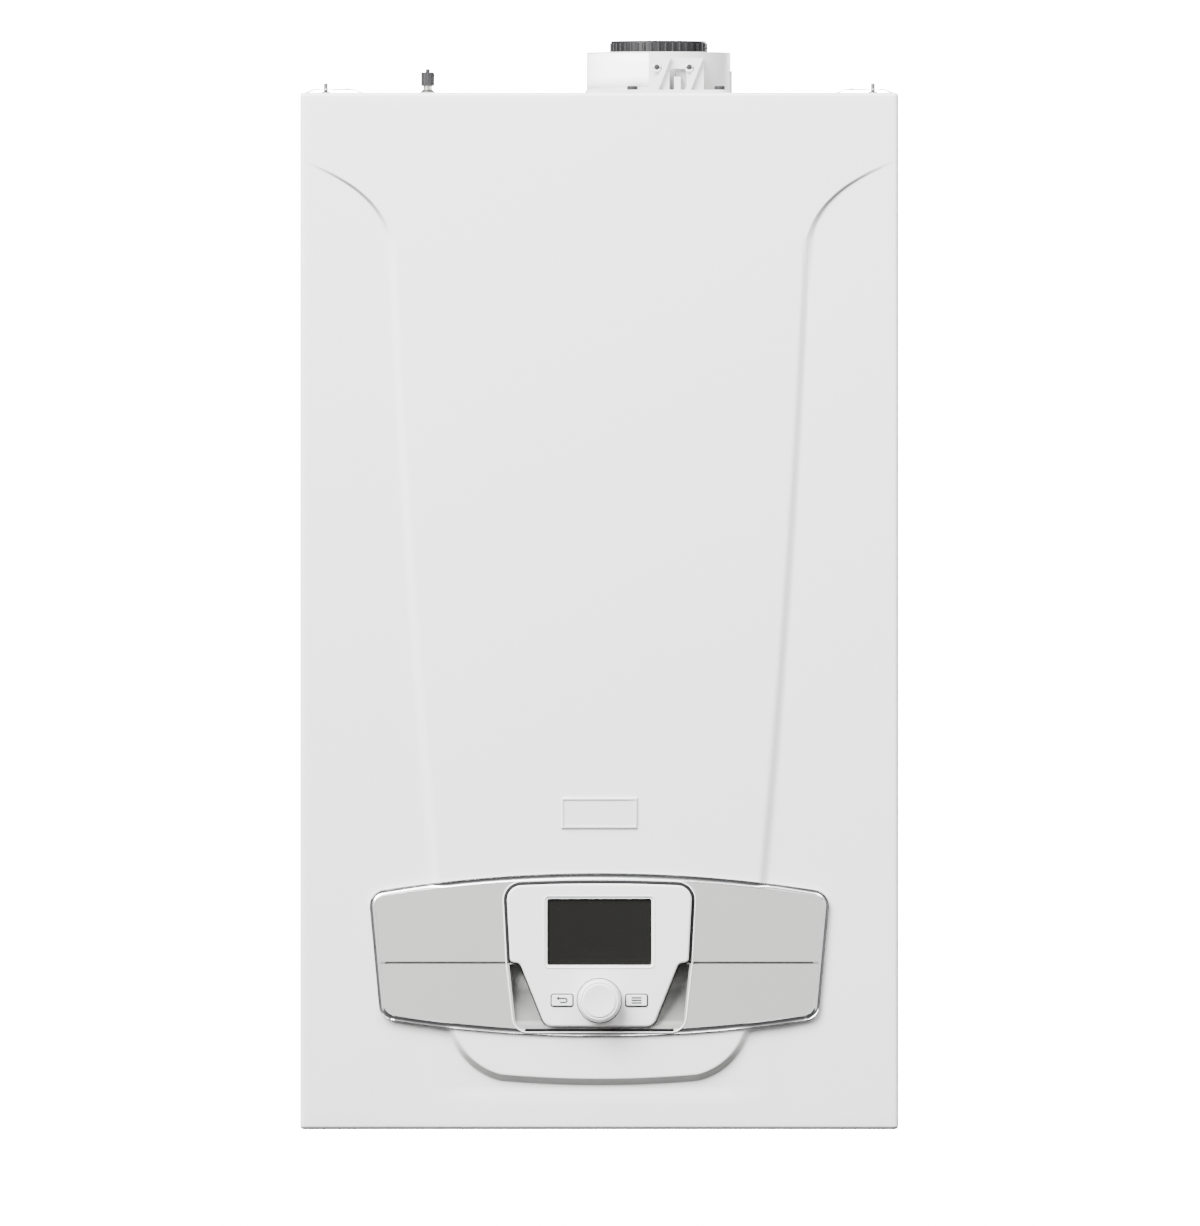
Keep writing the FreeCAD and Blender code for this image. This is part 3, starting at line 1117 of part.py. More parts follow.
def flue_adapter():
    """Moulded adapter: flange, outer air collar with a lug, inner exhaust socket on webs, test-point housing
    with a recessed latch and a leaning fin beside each plug."""
    half = ADAPTER_FLANGE_HALF
    flange = adapter_block((-half, half), (FLUE_Y - ADAPTER_FLANGE_FRONT, FLUE_Y + half), ADAPTER_FLANGE)
    flange = flange.makeFillet(ADAPTER_FLANGE_CORNER, edges_along(flange, Z_AXIS))
    air = ADAPTER_RADIUS - ADAPTER_WALL
    socket = FLUE_BORE + FLUE_SOCKET_WALL
    collar = rod(ADAPTER_RADIUS, flue_at(0), flue_at(ADAPTER_HEIGHT))
    face = FLUE_Y - ADAPTER_RADIUS - TEST_BLOCK_PROUD
    housing = adapter_block(TEST_BLOCK, (face, face + TEST_BLOCK_DEPTH), TEST_BLOCK_TOP)
    recess = adapter_block(TEST_RECESS, (face, face + TEST_RECESS_DEPTH), TEST_RECESS_TOP)
    recess = recess.cut(flange)
    latch = adapter_block(TEST_LATCH, (face + TEST_LATCH_SET, face + TEST_RECESS_DEPTH + TEST_LATCH_SET), TEST_LATCH_TOP)
    lug = adapter_block((air, half), (FLUE_Y - ADAPTER_LUG_WIDTH / 2, FLUE_Y + ADAPTER_LUG_WIDTH / 2), ADAPTER_LUG_TOP)
    outer = joined(joined(flange, collar, housing).cut(recess), latch, lug)
    outer = outer.cut(rod(air, flue_at(-ADAPTER_FLANGE), flue_at(ADAPTER_HEIGHT + ADAPTER_FLANGE)))
    inner = joined(tube(socket, FLUE_BORE, flue_at(ADAPTER_FLANGE), flue_at(ADAPTER_HEIGHT)),
                   tube(FLUE_SPIGOT, FLUE_SPIGOT - FLUE_SPIGOT_WALL, flue_at(-SPIGOT_LENGTH),
                        flue_at(ADAPTER_FLANGE)),
                   tube(socket, FLUE_SPIGOT - FLUE_SPIGOT_WALL, flue_at(0), flue_at(ADAPTER_FLANGE)))
    web = block((FLUE_X + FLUE_BORE + FLUE_SOCKET_WALL / 2, FLUE_X + air + ADAPTER_WALL / 2),
                (FLUE_Y - ADAPTER_WALL / 2, FLUE_Y + ADAPTER_WALL / 2), (CASE_HEIGHT, CASE_HEIGHT + ADAPTER_FLANGE))
    webs = []
    for i in range(ADAPTER_WEBS):
        turned = web.copy()
        turned.rotate(flue_at(0), Z_AXIS, 360.0 * (i + 0.5) / ADAPTER_WEBS)
        webs.append(turned)
    fins = []
    for plug_x in TEST_PLUG_X:
        x = FLUE_X + plug_x + TEST_FIN_FOOT
        low = CASE_HEIGHT + ADAPTER_FLANGE / 2
        high = CASE_HEIGHT + TEST_BLOCK_TOP
        fins.append(prism([V(x - TEST_FIN_WIDTH / 2, face, low), V(x + TEST_FIN_WIDTH / 2, face, low),
                           V(x + TEST_FIN_LEAN + TEST_FIN_WIDTH / 2, face, high),
                           V(x + TEST_FIN_LEAN - TEST_FIN_WIDTH / 2, face, high)], V(0, -TEST_FIN_PROUD, 0)))
    body = joined(outer, inner, *webs, *fins)
    for place in test_plug_places():
        body = body.cut(rod(TEST_PLUG_RADIUS + TEST_PLUG_CLEAR, place, place + V(0, TEST_PLUG_LENGTH + EDGE_GAP, 0)))
        body = body.cut(rod(TEST_PLUG_HEAD + EDGE_GAP, place - V(0, TEST_PLUG_HEAD_LENGTH, 0), place))
    for place in adapter_screw_places():
        body = body.cut(rod(SCREW_RADIUS + EDGE_GAP, place, place - V(0, 0, ADAPTER_FLANGE)))
        body = body.cut(rod(SCREW_HEAD + EDGE_GAP, place, place + V(0, 0, TEST_BLOCK_TOP)))
    return body


def adapter_screw_places():
    """Seats of the flange's four screws: two before the collar, two behind it."""
    wide = ADAPTER_SCREW_OFFSET
    return [flue_at(ADAPTER_FLANGE) + place
            for place in (V(-ADAPTER_SCREW_LEFT, -ADAPTER_SCREW_FRONT, 0), V(wide, -ADAPTER_SCREW_FRONT, 0),
                          V(-wide, wide, 0), V(wide, wide, 0))]


def casing_screws():
    """Pan-head screws that hold the adapter's flange to the roof."""
    screws = []
    for place in adapter_screw_places():
        head = rod(SCREW_HEAD, place, place + V(0, 0, SCREW_HEAD_HEIGHT))
        head = head.makeFillet(SCREW_HEAD_HEIGHT / 3,
                               edges_in_plane(head, place.z + SCREW_HEAD_HEIGHT, Z_AXIS))
        screws.append(joined(head, rod(SCREW_RADIUS, place - V(0, 0, ADAPTER_FLANGE), place)))
    return Part.makeCompound(screws)


def flue_seal():
    """Ribbed rubber ring on the mouth of the exhaust socket."""
    low = flue_at(ADAPTER_HEIGHT)
    ring = rod(SEAL_RING_RADIUS - SEAL_RIB_RADIUS / 2, low, low + V(0, 0, SEAL_RING_HEIGHT))
    ribs = []
    for i in range(SEAL_RIBS):
        angle = 2 * math.pi * i / SEAL_RIBS
        reach = SEAL_RING_RADIUS - SEAL_RIB_RADIUS
        place = low + V(reach * math.cos(angle), reach * math.sin(angle), 0)
        ribs.append(rod(SEAL_RIB_RADIUS, place, place + V(0, 0, SEAL_RING_HEIGHT - SEAL_RIB_RADIUS)))
    bore = rod(FLUE_BORE + SEAL_RING_CLEAR, low, low + V(0, 0, SEAL_RING_HEIGHT))
    return joined(ring, *ribs).cut(bore)


def test_plug(place):
    """Plug of a test point: round head with a screwdriver slot, and a stem in the housing."""
    front = place - V(0, TEST_PLUG_HEAD_LENGTH, 0)
    head = rod(TEST_PLUG_HEAD, front, place)
    head = head.makeFillet(TEST_PLUG_HEAD_LENGTH / 4, edges_in_plane(head, front.y, Y_AXIS))
    slot = block((place.x - TEST_PLUG_HEAD, place.x + TEST_PLUG_HEAD), (front.y, front.y + TEST_PLUG_HEAD_LENGTH / 3),
                 (place.z - SHEET / 2, place.z + SHEET / 2))
    return joined(head.cut(slot), rod(TEST_PLUG_RADIUS, place, place + V(0, TEST_PLUG_LENGTH, 0)))


def charge_valve():
    """Air valve of the expansion vessel: stem through the roof, clamped by its nut."""
    crown = VALVE_PLACE + V(0, 0, VESSEL_LEVEL + VESSEL_RADIUS - CASE_HEIGHT)
    stem = rod(VALVE_STEM, crown, VALVE_PLACE + V(0, 0, VALVE_CAP_LEVEL + VALVE_THREAD))
    nut = rod(VALVE_FOOT_RADIUS, VALVE_PLACE, VALVE_PLACE + V(0, 0, VALVE_FOOT_HEIGHT))
    top = VALVE_PLACE.z + VALVE_FOOT_HEIGHT
    nut = nut.makeChamfer(VALVE_FOOT_RADIUS - VALVE_STEM - EDGE_GAP, edges_in_plane(nut, top, Z_AXIS))
    return joined(stem, nut)


def charge_valve_cap():
    """Fluted cap with a key tip, over the valve's stem."""
    low = VALVE_PLACE + V(0, 0, VALVE_CAP_LEVEL)
    top = low + V(0, 0, VALVE_CAP_HEIGHT)
    cap = rod(VALVE_CAP_RADIUS, low, top)
    cap = cap.makeFillet(VALVE_CAP_FLUTE * 2, edges_in_plane(cap, top.z, Z_AXIS))
    for i in range(VALVE_CAP_FLUTES):
        angle = 2 * math.pi * i / VALVE_CAP_FLUTES
        place = low + V(VALVE_CAP_RADIUS * math.cos(angle), VALVE_CAP_RADIUS * math.sin(angle), 0)
        cap = cap.cut(rod(VALVE_CAP_FLUTE, place, place + V(0, 0, VALVE_CAP_HEIGHT)))
    tip = rod(VALVE_TIP_RADIUS, top, top + V(0, 0, VALVE_TIP_HEIGHT))
    bore = rod(VALVE_STEM + VALVE_CAP_CLEAR, low, low + V(0, 0, VALVE_THREAD + EDGE_GAP))
    return joined(cap, tip).cut(bore)


# Combustion parts

def drum_at(radius, y):
    """Point at a radius from the drum's axis, on its right."""
    return V(FLUE_X + radius, y, DRUM_LEVEL)


def drum_port(x):
    """Top of a port on the underside of the drum, x from its centre line."""
    return V(FLUE_X + x, PORT_Y, DRUM_LEVEL - math.sqrt(DRUM_RADIUS ** 2 - x ** 2))


def drum_foot(x):
    """Lower end of that port."""
    return drum_port(x) - V(0, 0, PORT_DROP)


def exchanger_shell():
    """Ribbed drum of the condensing exchanger, with flue socket, water and drain ports and wall feet."""
    centre = V(FLUE_X, 0, DRUM_LEVEL)
    outer = [drum_at(0, DRUM_BACK), drum_at(DRUM_RADIUS - DRUM_DOME, DRUM_BACK),
             drum_at(DRUM_RADIUS, DRUM_BACK - DRUM_DOME)]
    pitch = (DRUM_LENGTH - 2 * DRUM_DOME) / DRUM_RIBS
    for i in range(DRUM_RIBS):
        start = DRUM_BACK - DRUM_DOME - (i + 0.5) * pitch + DRUM_RIB_WIDTH / 2
        outer += [drum_at(DRUM_RADIUS, start), drum_at(DRUM_RADIUS + DRUM_RIB, start - DRUM_RIB / 3),
                  drum_at(DRUM_RADIUS + DRUM_RIB, start - DRUM_RIB_WIDTH + DRUM_RIB / 3),
                  drum_at(DRUM_RADIUS, start - DRUM_RIB_WIDTH)]
    inner = [drum_at(DRUM_RADIUS, DRUM_FRONT), drum_at(DRUM_MOUTH, DRUM_FRONT),
             drum_at(DRUM_MOUTH, DRUM_FRONT + DRUM_WALL), drum_at(DRUM_RADIUS - DRUM_WALL, DRUM_FRONT + DRUM_WALL),
             drum_at(DRUM_RADIUS - DRUM_WALL, DRUM_BACK - DRUM_DOME),
             drum_at(DRUM_RADIUS - DRUM_DOME - DRUM_WALL / 2, DRUM_BACK - DRUM_WALL),
             drum_at(0, DRUM_BACK - DRUM_WALL)]
    shell = spun(outer + inner, centre, Y_AXIS)
    crown = V(FLUE_X, FLUE_Y, DRUM_LEVEL + DRUM_RADIUS - DRUM_DOME)
    mouth = V(FLUE_X, FLUE_Y, CASE_HEIGHT - EDGE_GAP - SHEET * 2)
    bore = FLUE_SPIGOT + SPIGOT_CLEAR
    neck = rod(bore + FLUE_SPIGOT_WALL, crown, mouth)
    ports = [rod(PORT_RADIUS, drum_foot(x) + V(0, 0, PORT_DROP + DRUM_WALL), drum_foot(x))
             for x in (FLOW_PORT_X, RETURN_PORT_X)]
    drain = rod(DRAIN_RADIUS + DRUM_WALL, drum_foot(DRAIN_PORT_X) + V(0, 0, PORT_DROP + DRUM_WALL),
                drum_foot(DRAIN_PORT_X))
    spread = DRUM_FOOT_SPACING / 2
    feet = [rod(DRUM_FOOT_RADIUS, V(FLUE_X + sx * spread, DRUM_BACK - DRUM_WALL / 2, DRUM_LEVEL + sz * spread),
                V(FLUE_X + sx * spread, BACK_FIELD, DRUM_LEVEL + sz * spread)) for sx in (-1, 1) for sz in (-1, 1)]
    cavity = spun([drum_at(0, DRUM_FRONT)] + inner[1:], centre, Y_AXIS)
    solid = joined(shell, neck, drain, *ports, *feet)
    return solid.cut(cavity).cut(rod(bore, crown - V(0, 0, DRUM_DOME), mouth))


def exchanger_coil():
    """Stack of coil turns inside the drum, as a tube grooved between its turns."""
    back = DRUM_BACK - DRUM_WALL - COIL_REST
    front = DRUM_FRONT + DRUM_WALL + DRUM_DOME
    pitch = (back - front) / COIL_TURNS
    dome = DRUM_RADIUS - DRUM_DOME - DRUM_WALL
    outer = []
    for i in range(COIL_TURNS):
        start = back - i * pitch
        reach = min(COIL_OUTER, dome - COIL_REST) if i < DRUM_DOME / pitch + 1 else COIL_OUTER
        outer += [drum_at(reach, start), drum_at(reach, start - pitch * 0.8),
                  drum_at(reach - COIL_GROOVE, start - pitch * 0.8), drum_at(reach - COIL_GROOVE, start - pitch)]
    profile = outer + [drum_at(COIL_INNER, front), drum_at(COIL_INNER, back)]
    return spun(profile, V(FLUE_X, 0, DRUM_LEVEL), Y_AXIS)


def burner():
    """Cylinder burner: closed perforated-steel tube with a mounting flange."""
    back = DRUM_FRONT + BURNER_LENGTH
    inner = BURNER_RADIUS - BURNER_WALL
    profile = [drum_at(inner, DRUM_FRONT), drum_at(BURNER_FLANGE, DRUM_FRONT),
               drum_at(BURNER_FLANGE, DRUM_FRONT + BURNER_FLANGE_THICK),
               drum_at(BURNER_RADIUS, DRUM_FRONT + BURNER_FLANGE_THICK), drum_at(BURNER_RADIUS, back),
               drum_at(0, back), drum_at(0, back - BURNER_WALL), drum_at(inner, back - BURNER_WALL)]
    return spun(profile, V(FLUE_X, 0, DRUM_LEVEL), Y_AXIS)


def door_bolt_places():
    """Seats of the nuts round the burner door."""
    turns = [2 * math.pi * (i + 0.5) / DOOR_BOLTS for i in range(DOOR_BOLTS)]
    return [V(FLUE_X + DOOR_BOLT_CIRCLE * math.cos(a), DOOR_FRONT, DRUM_LEVEL + DOOR_BOLT_CIRCLE * math.sin(a))
            for a in turns]


def electrode_places():
    """Where the electrodes pass the burner door."""
    return [V(FLUE_X + x, DOOR_FRONT, DRUM_LEVEL + ELECTRODE_RISE) for x in ELECTRODE_X]


def elbow_path():
    """Centre line of the mixture duct, from the door's face to the fan's outlet."""
    return [V(FLUE_X, DRUM_FRONT, DRUM_LEVEL), V(FLUE_X, ELBOW_Y, DRUM_LEVEL), V(FLUE_X, ELBOW_Y, FAN_TOP)]


def burner_door():
    """Cast door on the drum's mouth: ribbed disc with the mixture duct bending down to the fan."""
    centre = V(FLUE_X, 0, DRUM_LEVEL)
    half = DOOR_THICK / 2
    profile = [drum_at(0, DRUM_FRONT), drum_at(DOOR_RADIUS, DRUM_FRONT), drum_at(DOOR_RADIUS, DRUM_FRONT - half / 2),
               drum_at(DOOR_RADIUS - half / 2, DRUM_FRONT - half), drum_at(0, DRUM_FRONT - half)]
    disc = spun(profile, centre, Y_AXIS)
    bosses = [rod(NUT_FLATS * 0.75, place, place + V(0, DOOR_THICK, 0)) for place in door_bolt_places()]
    rib = block((FLUE_X, FLUE_X + DOOR_BOLT_CIRCLE), (DOOR_FRONT + half / 3, DRUM_FRONT),
                (DRUM_LEVEL - half / 2, DRUM_LEVEL + half / 2))
    ribs = []
    for i in range(DOOR_RIBS):
        turned = rib.copy()
        turned.rotate(centre, Y_AXIS, 360.0 * i / DOOR_RIBS)
        ribs.append(turned)
    pads = [rod(ELECTRODE_FLANGE + half / 3, place, place + V(0, DOOR_THICK, 0)) for place in electrode_places()]
    duct = bent_rod(ELBOW_RADIUS, elbow_path(), ELBOW_BEND)
    outlet = V(FLUE_X, ELBOW_Y, FAN_TOP)
    flange = rod(ELBOW_FLANGE, outlet, outlet + V(0, 0, ELBOW_FLANGE_THICK))
    door = joined(disc, duct, flange, *bosses, *ribs, *pads)
    door = door.cut(bent_rod(ELBOW_RADIUS - ELBOW_WALL, elbow_path(), ELBOW_BEND))
    for place in electrode_places():
        door = door.cut(rod(ELECTRODE_RADIUS + ELECTRODE_CLEAR, place, place + V(0, DOOR_THICK, 0)))
    return door


def burner_door_nuts():
    """Hexagon nuts on the door's studs."""
    return Part.makeCompound([hexagon(NUT_FLATS, place, place - V(0, NUT_HEIGHT, 0)) for place in door_bolt_places()])


def electrodes():
    """Ignition and sensing electrodes: flange, ceramic and rod through the door."""
    pieces = []
    for place in electrode_places():
        back = place + V(0, ELECTRODE_REACH + DOOR_THICK, 0)
        front = place - V(0, ELECTRODE_REACH, 0)
        plate = rod(ELECTRODE_FLANGE, place - V(0, ELECTRODE_FLANGE_THICK, 0), place)
        neck = rod(ELECTRODE_RADIUS * 1.4, place - V(0, ELECTRODE_REACH * 0.6, 0), place)
        pieces.append(joined(plate, neck, rod(ELECTRODE_RADIUS, front, back)))
    return Part.makeCompound(pieces)


def fan_block(inset, left, right):
    """Scroll of the fan as a solid, drawn in by inset: round casing and a straight outlet upwards."""
    axis = V(left, FAN_Y, FAN_LEVEL)
    scroll = rod(FAN_RADIUS - inset, axis, axis + V(right - left, 0, 0))
    reach = ELBOW_RADIUS - inset
    outlet = block((left, right), (ELBOW_Y - reach, ELBOW_Y + reach), (FAN_LEVEL, FAN_TOP))
    return joined(scroll, outlet)


def fan_housing():
    """Scroll casing of the fan, with its inlet eye, shaft hole and outlet flange."""
    shell = fan_block(0, FAN_LEFT, FAN_RIGHT)
    outlet = V(FLUE_X, ELBOW_Y, FAN_TOP)
    flange = rod(ELBOW_FLANGE, outlet - V(0, 0, ELBOW_FLANGE_THICK), outlet)
    shell = joined(shell, flange).cut(fan_block(FAN_WALL, FAN_LEFT + FAN_WALL, FAN_RIGHT - FAN_WALL))
    eye = rod(FAN_EYE, V(FAN_LEFT, FAN_Y, FAN_LEVEL), V(FAN_LEFT + FAN_WALL, FAN_Y, FAN_LEVEL))
    hole = rod(FAN_SHAFT + SHEET, V(FAN_RIGHT - FAN_WALL, FAN_Y, FAN_LEVEL), V(FAN_RIGHT, FAN_Y, FAN_LEVEL))
    return shell.cut(eye).cut(hole)


def fan_motor():
    """Finned motor on the fan's right side, with the bearing bore of the wheel's shaft."""
    def at(x):
        return V(FAN_RIGHT + x, FAN_Y, FAN_LEVEL)
    body = rod(MOTOR_RADIUS, at(0), at(MOTOR_LENGTH))
    pitch = MOTOR_LENGTH / (MOTOR_FINS + 1)
    for i in range(MOTOR_FINS):
        start = (i + 0.75) * pitch
        body = body.cut(tube(MOTOR_RADIUS, MOTOR_RADIUS - MOTOR_FIN_DEPTH, at(start), at(start + pitch / 2)))
    cap = rod(MOTOR_RADIUS * 0.6, at(MOTOR_LENGTH), at(MOTOR_LENGTH + pitch))
    plug = block((FAN_RIGHT + MOTOR_LENGTH * 0.2, FAN_RIGHT + MOTOR_LENGTH * 0.8),
                 (FAN_Y - MOTOR_RADIUS * 0.4, FAN_Y + MOTOR_RADIUS * 0.4),
                 (FAN_LEVEL - MOTOR_RADIUS - pitch, FAN_LEVEL - MOTOR_RADIUS * 0.7))
    bore = rod(FAN_SHAFT + FAN_SHAFT_CLEAR, at(0), at(FAN_SHAFT_GRIP + EDGE_GAP))
    return joined(body, cap, plug).cut(bore)


def fan_impeller():
    """Fan wheel: back disc, curved blades, front ring, hub and shaft into the motor."""
    back = FAN_RIGHT - FAN_WALL - WHEEL_GAP
    front = FAN_LEFT + FAN_WALL + WHEEL_GAP

    def at(x):
        return V(x, FAN_Y, FAN_LEVEL)
    disc = rod(WHEEL_RADIUS, at(back - WHEEL_DISC), at(back))
    ring = tube(WHEEL_RADIUS, WHEEL_INNER, at(front), at(front + WHEEL_DISC))
    hub = rod(WHEEL_HUB, at(back - WHEEL_HUB), at(back))
    shaft = rod(FAN_SHAFT, at(back - WHEEL_HUB), at(FAN_RIGHT + FAN_SHAFT_GRIP))

    def blade_edge(radius, sweep):
        return V(front, FAN_Y + radius * math.cos(sweep), FAN_LEVEL + radius * math.sin(sweep))
    inner = WHEEL_INNER - WHEEL_DISC
    outer = WHEEL_RADIUS - WHEEL_DISC / 2
    middle = (inner + outer) / 2
    spread = WHEEL_BLADE_THICK / middle
    lead = [blade_edge(inner, 0), blade_edge(middle, -0.2), blade_edge(outer, -0.55)]
    trail = [blade_edge(inner, spread), blade_edge(middle, -0.2 + spread), blade_edge(outer, -0.55 + spread)]
    outline = Part.Wire([Part.Arc(*lead).toShape(), Part.makeLine(lead[2], trail[2]),
                         Part.Arc(*trail[::-1]).toShape(), Part.makeLine(trail[0], lead[0])])
    blade = Part.Face(outline).extrude(V(back - front, 0, 0))
    blades = []
    for i in range(WHEEL_BLADES):
        turned = blade.copy()
        turned.rotate(at(front), X_AXIS, 360.0 * i / WHEEL_BLADES)
        blades.append(turned)
    return joined(disc, ring, hub, shaft, *blades)


def gas_air_mixer():
    """Venturi on the fan's inlet: bell mouth, throat, flange and the gas boss underneath."""
    def at(radius, x):
        return V(FAN_LEFT - x, FAN_Y, FAN_LEVEL + radius)
    wall = FAN_WALL
    flange = FAN_EYE + 2 * wall
    mouth = Part.Arc(at(MIXER_THROAT, MIXER_LENGTH / 2), at(MIXER_THROAT + wall, MIXER_LENGTH * 0.82),
                     at(MIXER_RADIUS - wall, MIXER_LENGTH)).toShape()
    rest = [at(MIXER_RADIUS - wall, MIXER_LENGTH), at(MIXER_RADIUS, MIXER_LENGTH), at(MIXER_RADIUS, MIXER_FLANGE),
            at(flange + wall, MIXER_FLANGE), at(flange + wall, 0), at(FAN_EYE, 0),
            at(MIXER_THROAT, MIXER_LENGTH / 2)]
    edges = [mouth] + [Part.makeLine(a, b) for a, b in zip(rest, rest[1:])]
    body = Part.Face(Part.Wire(edges)).revolve(at(0, 0), X_AXIS, 360)
    top = V(GAS_BOSS_X, FAN_Y, FAN_LEVEL - MIXER_RADIUS + wall)
    boss = rod(GAS_BOSS_RADIUS, V(GAS_BOSS_X, FAN_Y, GAS_BOSS_FOOT), top)
    return joined(body, boss)


def gas_valve():
    """Cast gas valve: block with two solenoid coils, pressure taps and an outlet on top."""
    left = GAS_BOSS_X - UNION_RADIUS - GAS_VALVE_ROUND
    front = FAN_Y - UNION_RADIUS
    top = GAS_VALVE_LEVEL + GAS_VALVE_HEIGHT
    body = block((left, left + GAS_VALVE_WIDTH), (front, front + GAS_VALVE_DEPTH), (GAS_VALVE_LEVEL, top))
    body = body.makeFillet(GAS_VALVE_ROUND, edges_along(body, Z_AXIS))
    coils = []
    for i in range(2):
        place = V(left + GAS_VALVE_WIDTH - GAS_COIL_RADIUS - GAS_VALVE_ROUND,
                  front + GAS_COIL_RADIUS + GAS_VALVE_ROUND + i * 2.3 * GAS_COIL_RADIUS, top)
        coils += [rod(GAS_COIL_RADIUS, place, place + V(0, 0, GAS_COIL_HEIGHT)),
                  rod(GAS_COIL_RADIUS / 3, place, place + V(0, 0, GAS_COIL_HEIGHT * 1.2))]
    taps = [rod(GAS_VALVE_ROUND, V(x, front, GAS_VALVE_LEVEL + GAS_VALVE_HEIGHT * 0.3),
                V(x, front - GAS_VALVE_ROUND * 1.4, GAS_VALVE_LEVEL + GAS_VALVE_HEIGHT * 0.3))
            for x in (left + GAS_VALVE_WIDTH * 0.3, left + GAS_VALVE_WIDTH * 0.6)]
    adjuster = rod(GAS_COIL_RADIUS * 0.8, V(left + GAS_VALVE_WIDTH * 0.45, front, top - GAS_VALVE_HEIGHT * 0.3),
                   V(left + GAS_VALVE_WIDTH * 0.45, front - GAS_VALVE_ROUND * 2, top - GAS_VALVE_HEIGHT * 0.3))
    return joined(body, adjuster, *coils, *taps)


def union_nut(place, direction):
    """Round union nut that starts at a point and runs along a direction."""
    return rod(UNION_RADIUS, place, place + direction * UNION_HEIGHT)


def gas_mixer_pipe():
    """Short gas pipe from the valve up to the mixer, with a union at each end."""
    low = V(GAS_BOSS_X, FAN_Y, GAS_VALVE_LEVEL + GAS_VALVE_HEIGHT)
    high = V(GAS_BOSS_X, FAN_Y, GAS_BOSS_FOOT)
    pipe = joined(rod(GAS_PIPE_RADIUS, low, high), union_nut(low, Z_AXIS), union_nut(high, -Z_AXIS))
    return pipe.cut(rod(GAS_PIPE_RADIUS - PIPE_WALL, low, high))


def gas_inlet_pipe():
    """Gas pipe from its connection up to the valve's lower face."""
    low = V(0, TAIL_Y, TAIL_TOP)
    high = V(0, TAIL_Y, GAS_VALVE_LEVEL)
    pipe = joined(rod(GAS_PIPE_RADIUS, low, high), union_nut(low, Z_AXIS), union_nut(high, -Z_AXIS))
    return pipe.cut(rod(GAS_PIPE_RADIUS - PIPE_WALL, low, high))


# Water parts

def tails():
    """X and thread radius of the five connections: flow, hot water, gas, cold water, return."""
    radii = [TAIL_LARGE, TAIL_SMALL, TAIL_LARGE, TAIL_SMALL, TAIL_LARGE]
    return [((i - 2) * TAIL_PITCH, radius) for i, radius in enumerate(radii)]


def connection_tails():
    """Five brass tails through the bottom panel, each with the collar that stands on it."""
    pieces = []
    for x, radius in tails():
        low = V(x, TAIL_Y, TAIL_FOOT)
        top = V(x, TAIL_Y, TAIL_TOP)
        seat = V(x, TAIL_Y, BOTTOM_LEVEL)
        tail = joined(rod(radius, low, top), rod(radius + TAIL_COLLAR, seat, seat + V(0, 0, TAIL_COLLAR_HEIGHT)))
        pieces.append(tail.cut(rod(radius * TAIL_BORE, low, top)))
    return Part.makeCompound(pieces)


def flow_group():
    """Flow manifold: upright body, diverter seat, ports to the plate exchanger and the hot-water branch."""
    centre = V(FLOW_X, TAIL_Y, TAIL_TOP)
    body = rod(GROUP_RADIUS, centre, V(FLOW_X, TAIL_Y, FLOW_GROUP_TOP))
    seat = V(FLOW_X, TAIL_Y, DIVERTER_LEVEL)
    diverter = rod(GROUP_RADIUS * 0.9, seat, seat - V(0, DIVERTER_SEAT, 0))
    ports = [rod(PORT_RADIUS, V(x, -PLATE_FRONT, z), V(x, TAIL_Y, z))
             for x, z in ((FLOW_X + 3 * PORT_RADIUS, PLATE_PORT_HIGH), (FLOW_X + 3 * PORT_RADIUS, PLATE_PORT_LOW))]
    links = [rod(PORT_RADIUS, V(FLOW_X, TAIL_Y, z), V(FLOW_X + 3 * PORT_RADIUS, TAIL_Y, z))
             for z in (PLATE_PORT_HIGH, PLATE_PORT_LOW)]
    knees = [Part.makeSphere(PORT_RADIUS, V(FLOW_X + 3 * PORT_RADIUS, TAIL_Y, z))
             for z in (PLATE_PORT_HIGH, PLATE_PORT_LOW)]
    branch = V(-TAIL_PITCH, TAIL_Y, BRANCH_LEVEL)
    hot = [rod(BRANCH_RADIUS, V(FLOW_X, TAIL_Y, BRANCH_LEVEL), branch), Part.makeSphere(BRANCH_RADIUS, branch),
           rod(BRANCH_RADIUS, branch, V(-TAIL_PITCH, TAIL_Y, TAIL_TOP))]
    vessel_boss = rod(VESSEL_PORT, V(FLOW_X, TAIL_Y, VESSEL_PIPE_LEVEL),
                      V(FLOW_X - GROUP_RADIUS - VESSEL_PORT / 2, TAIL_Y, VESSEL_PIPE_LEVEL))
    cap = rod(UNION_RADIUS, V(FLOW_X, TAIL_Y, FLOW_GROUP_TOP - UNION_HEIGHT), V(FLOW_X, TAIL_Y, FLOW_GROUP_TOP))
    return joined(body, diverter, vessel_boss, cap, *ports, *links, *knees, *hot)


def diverter_motor():
    """Motor of the three-way valve, clipped to the flow group's seat."""
    back = TAIL_Y - DIVERTER_SEAT
    half = DIVERTER_WIDTH / 2
    rise = DIVERTER_HEIGHT / 2
    body = block((FLOW_X - half, FLOW_X + half), (back - DIVERTER_DEPTH, back),
                 (DIVERTER_LEVEL - rise, DIVERTER_LEVEL + rise))
    body = body.makeFillet(GAS_VALVE_ROUND, edges_along(body, Y_AXIS))
    front = back - DIVERTER_DEPTH
    return body.makeFillet(GAS_VALVE_ROUND / 2, edges_in_plane(body, front, Y_AXIS))


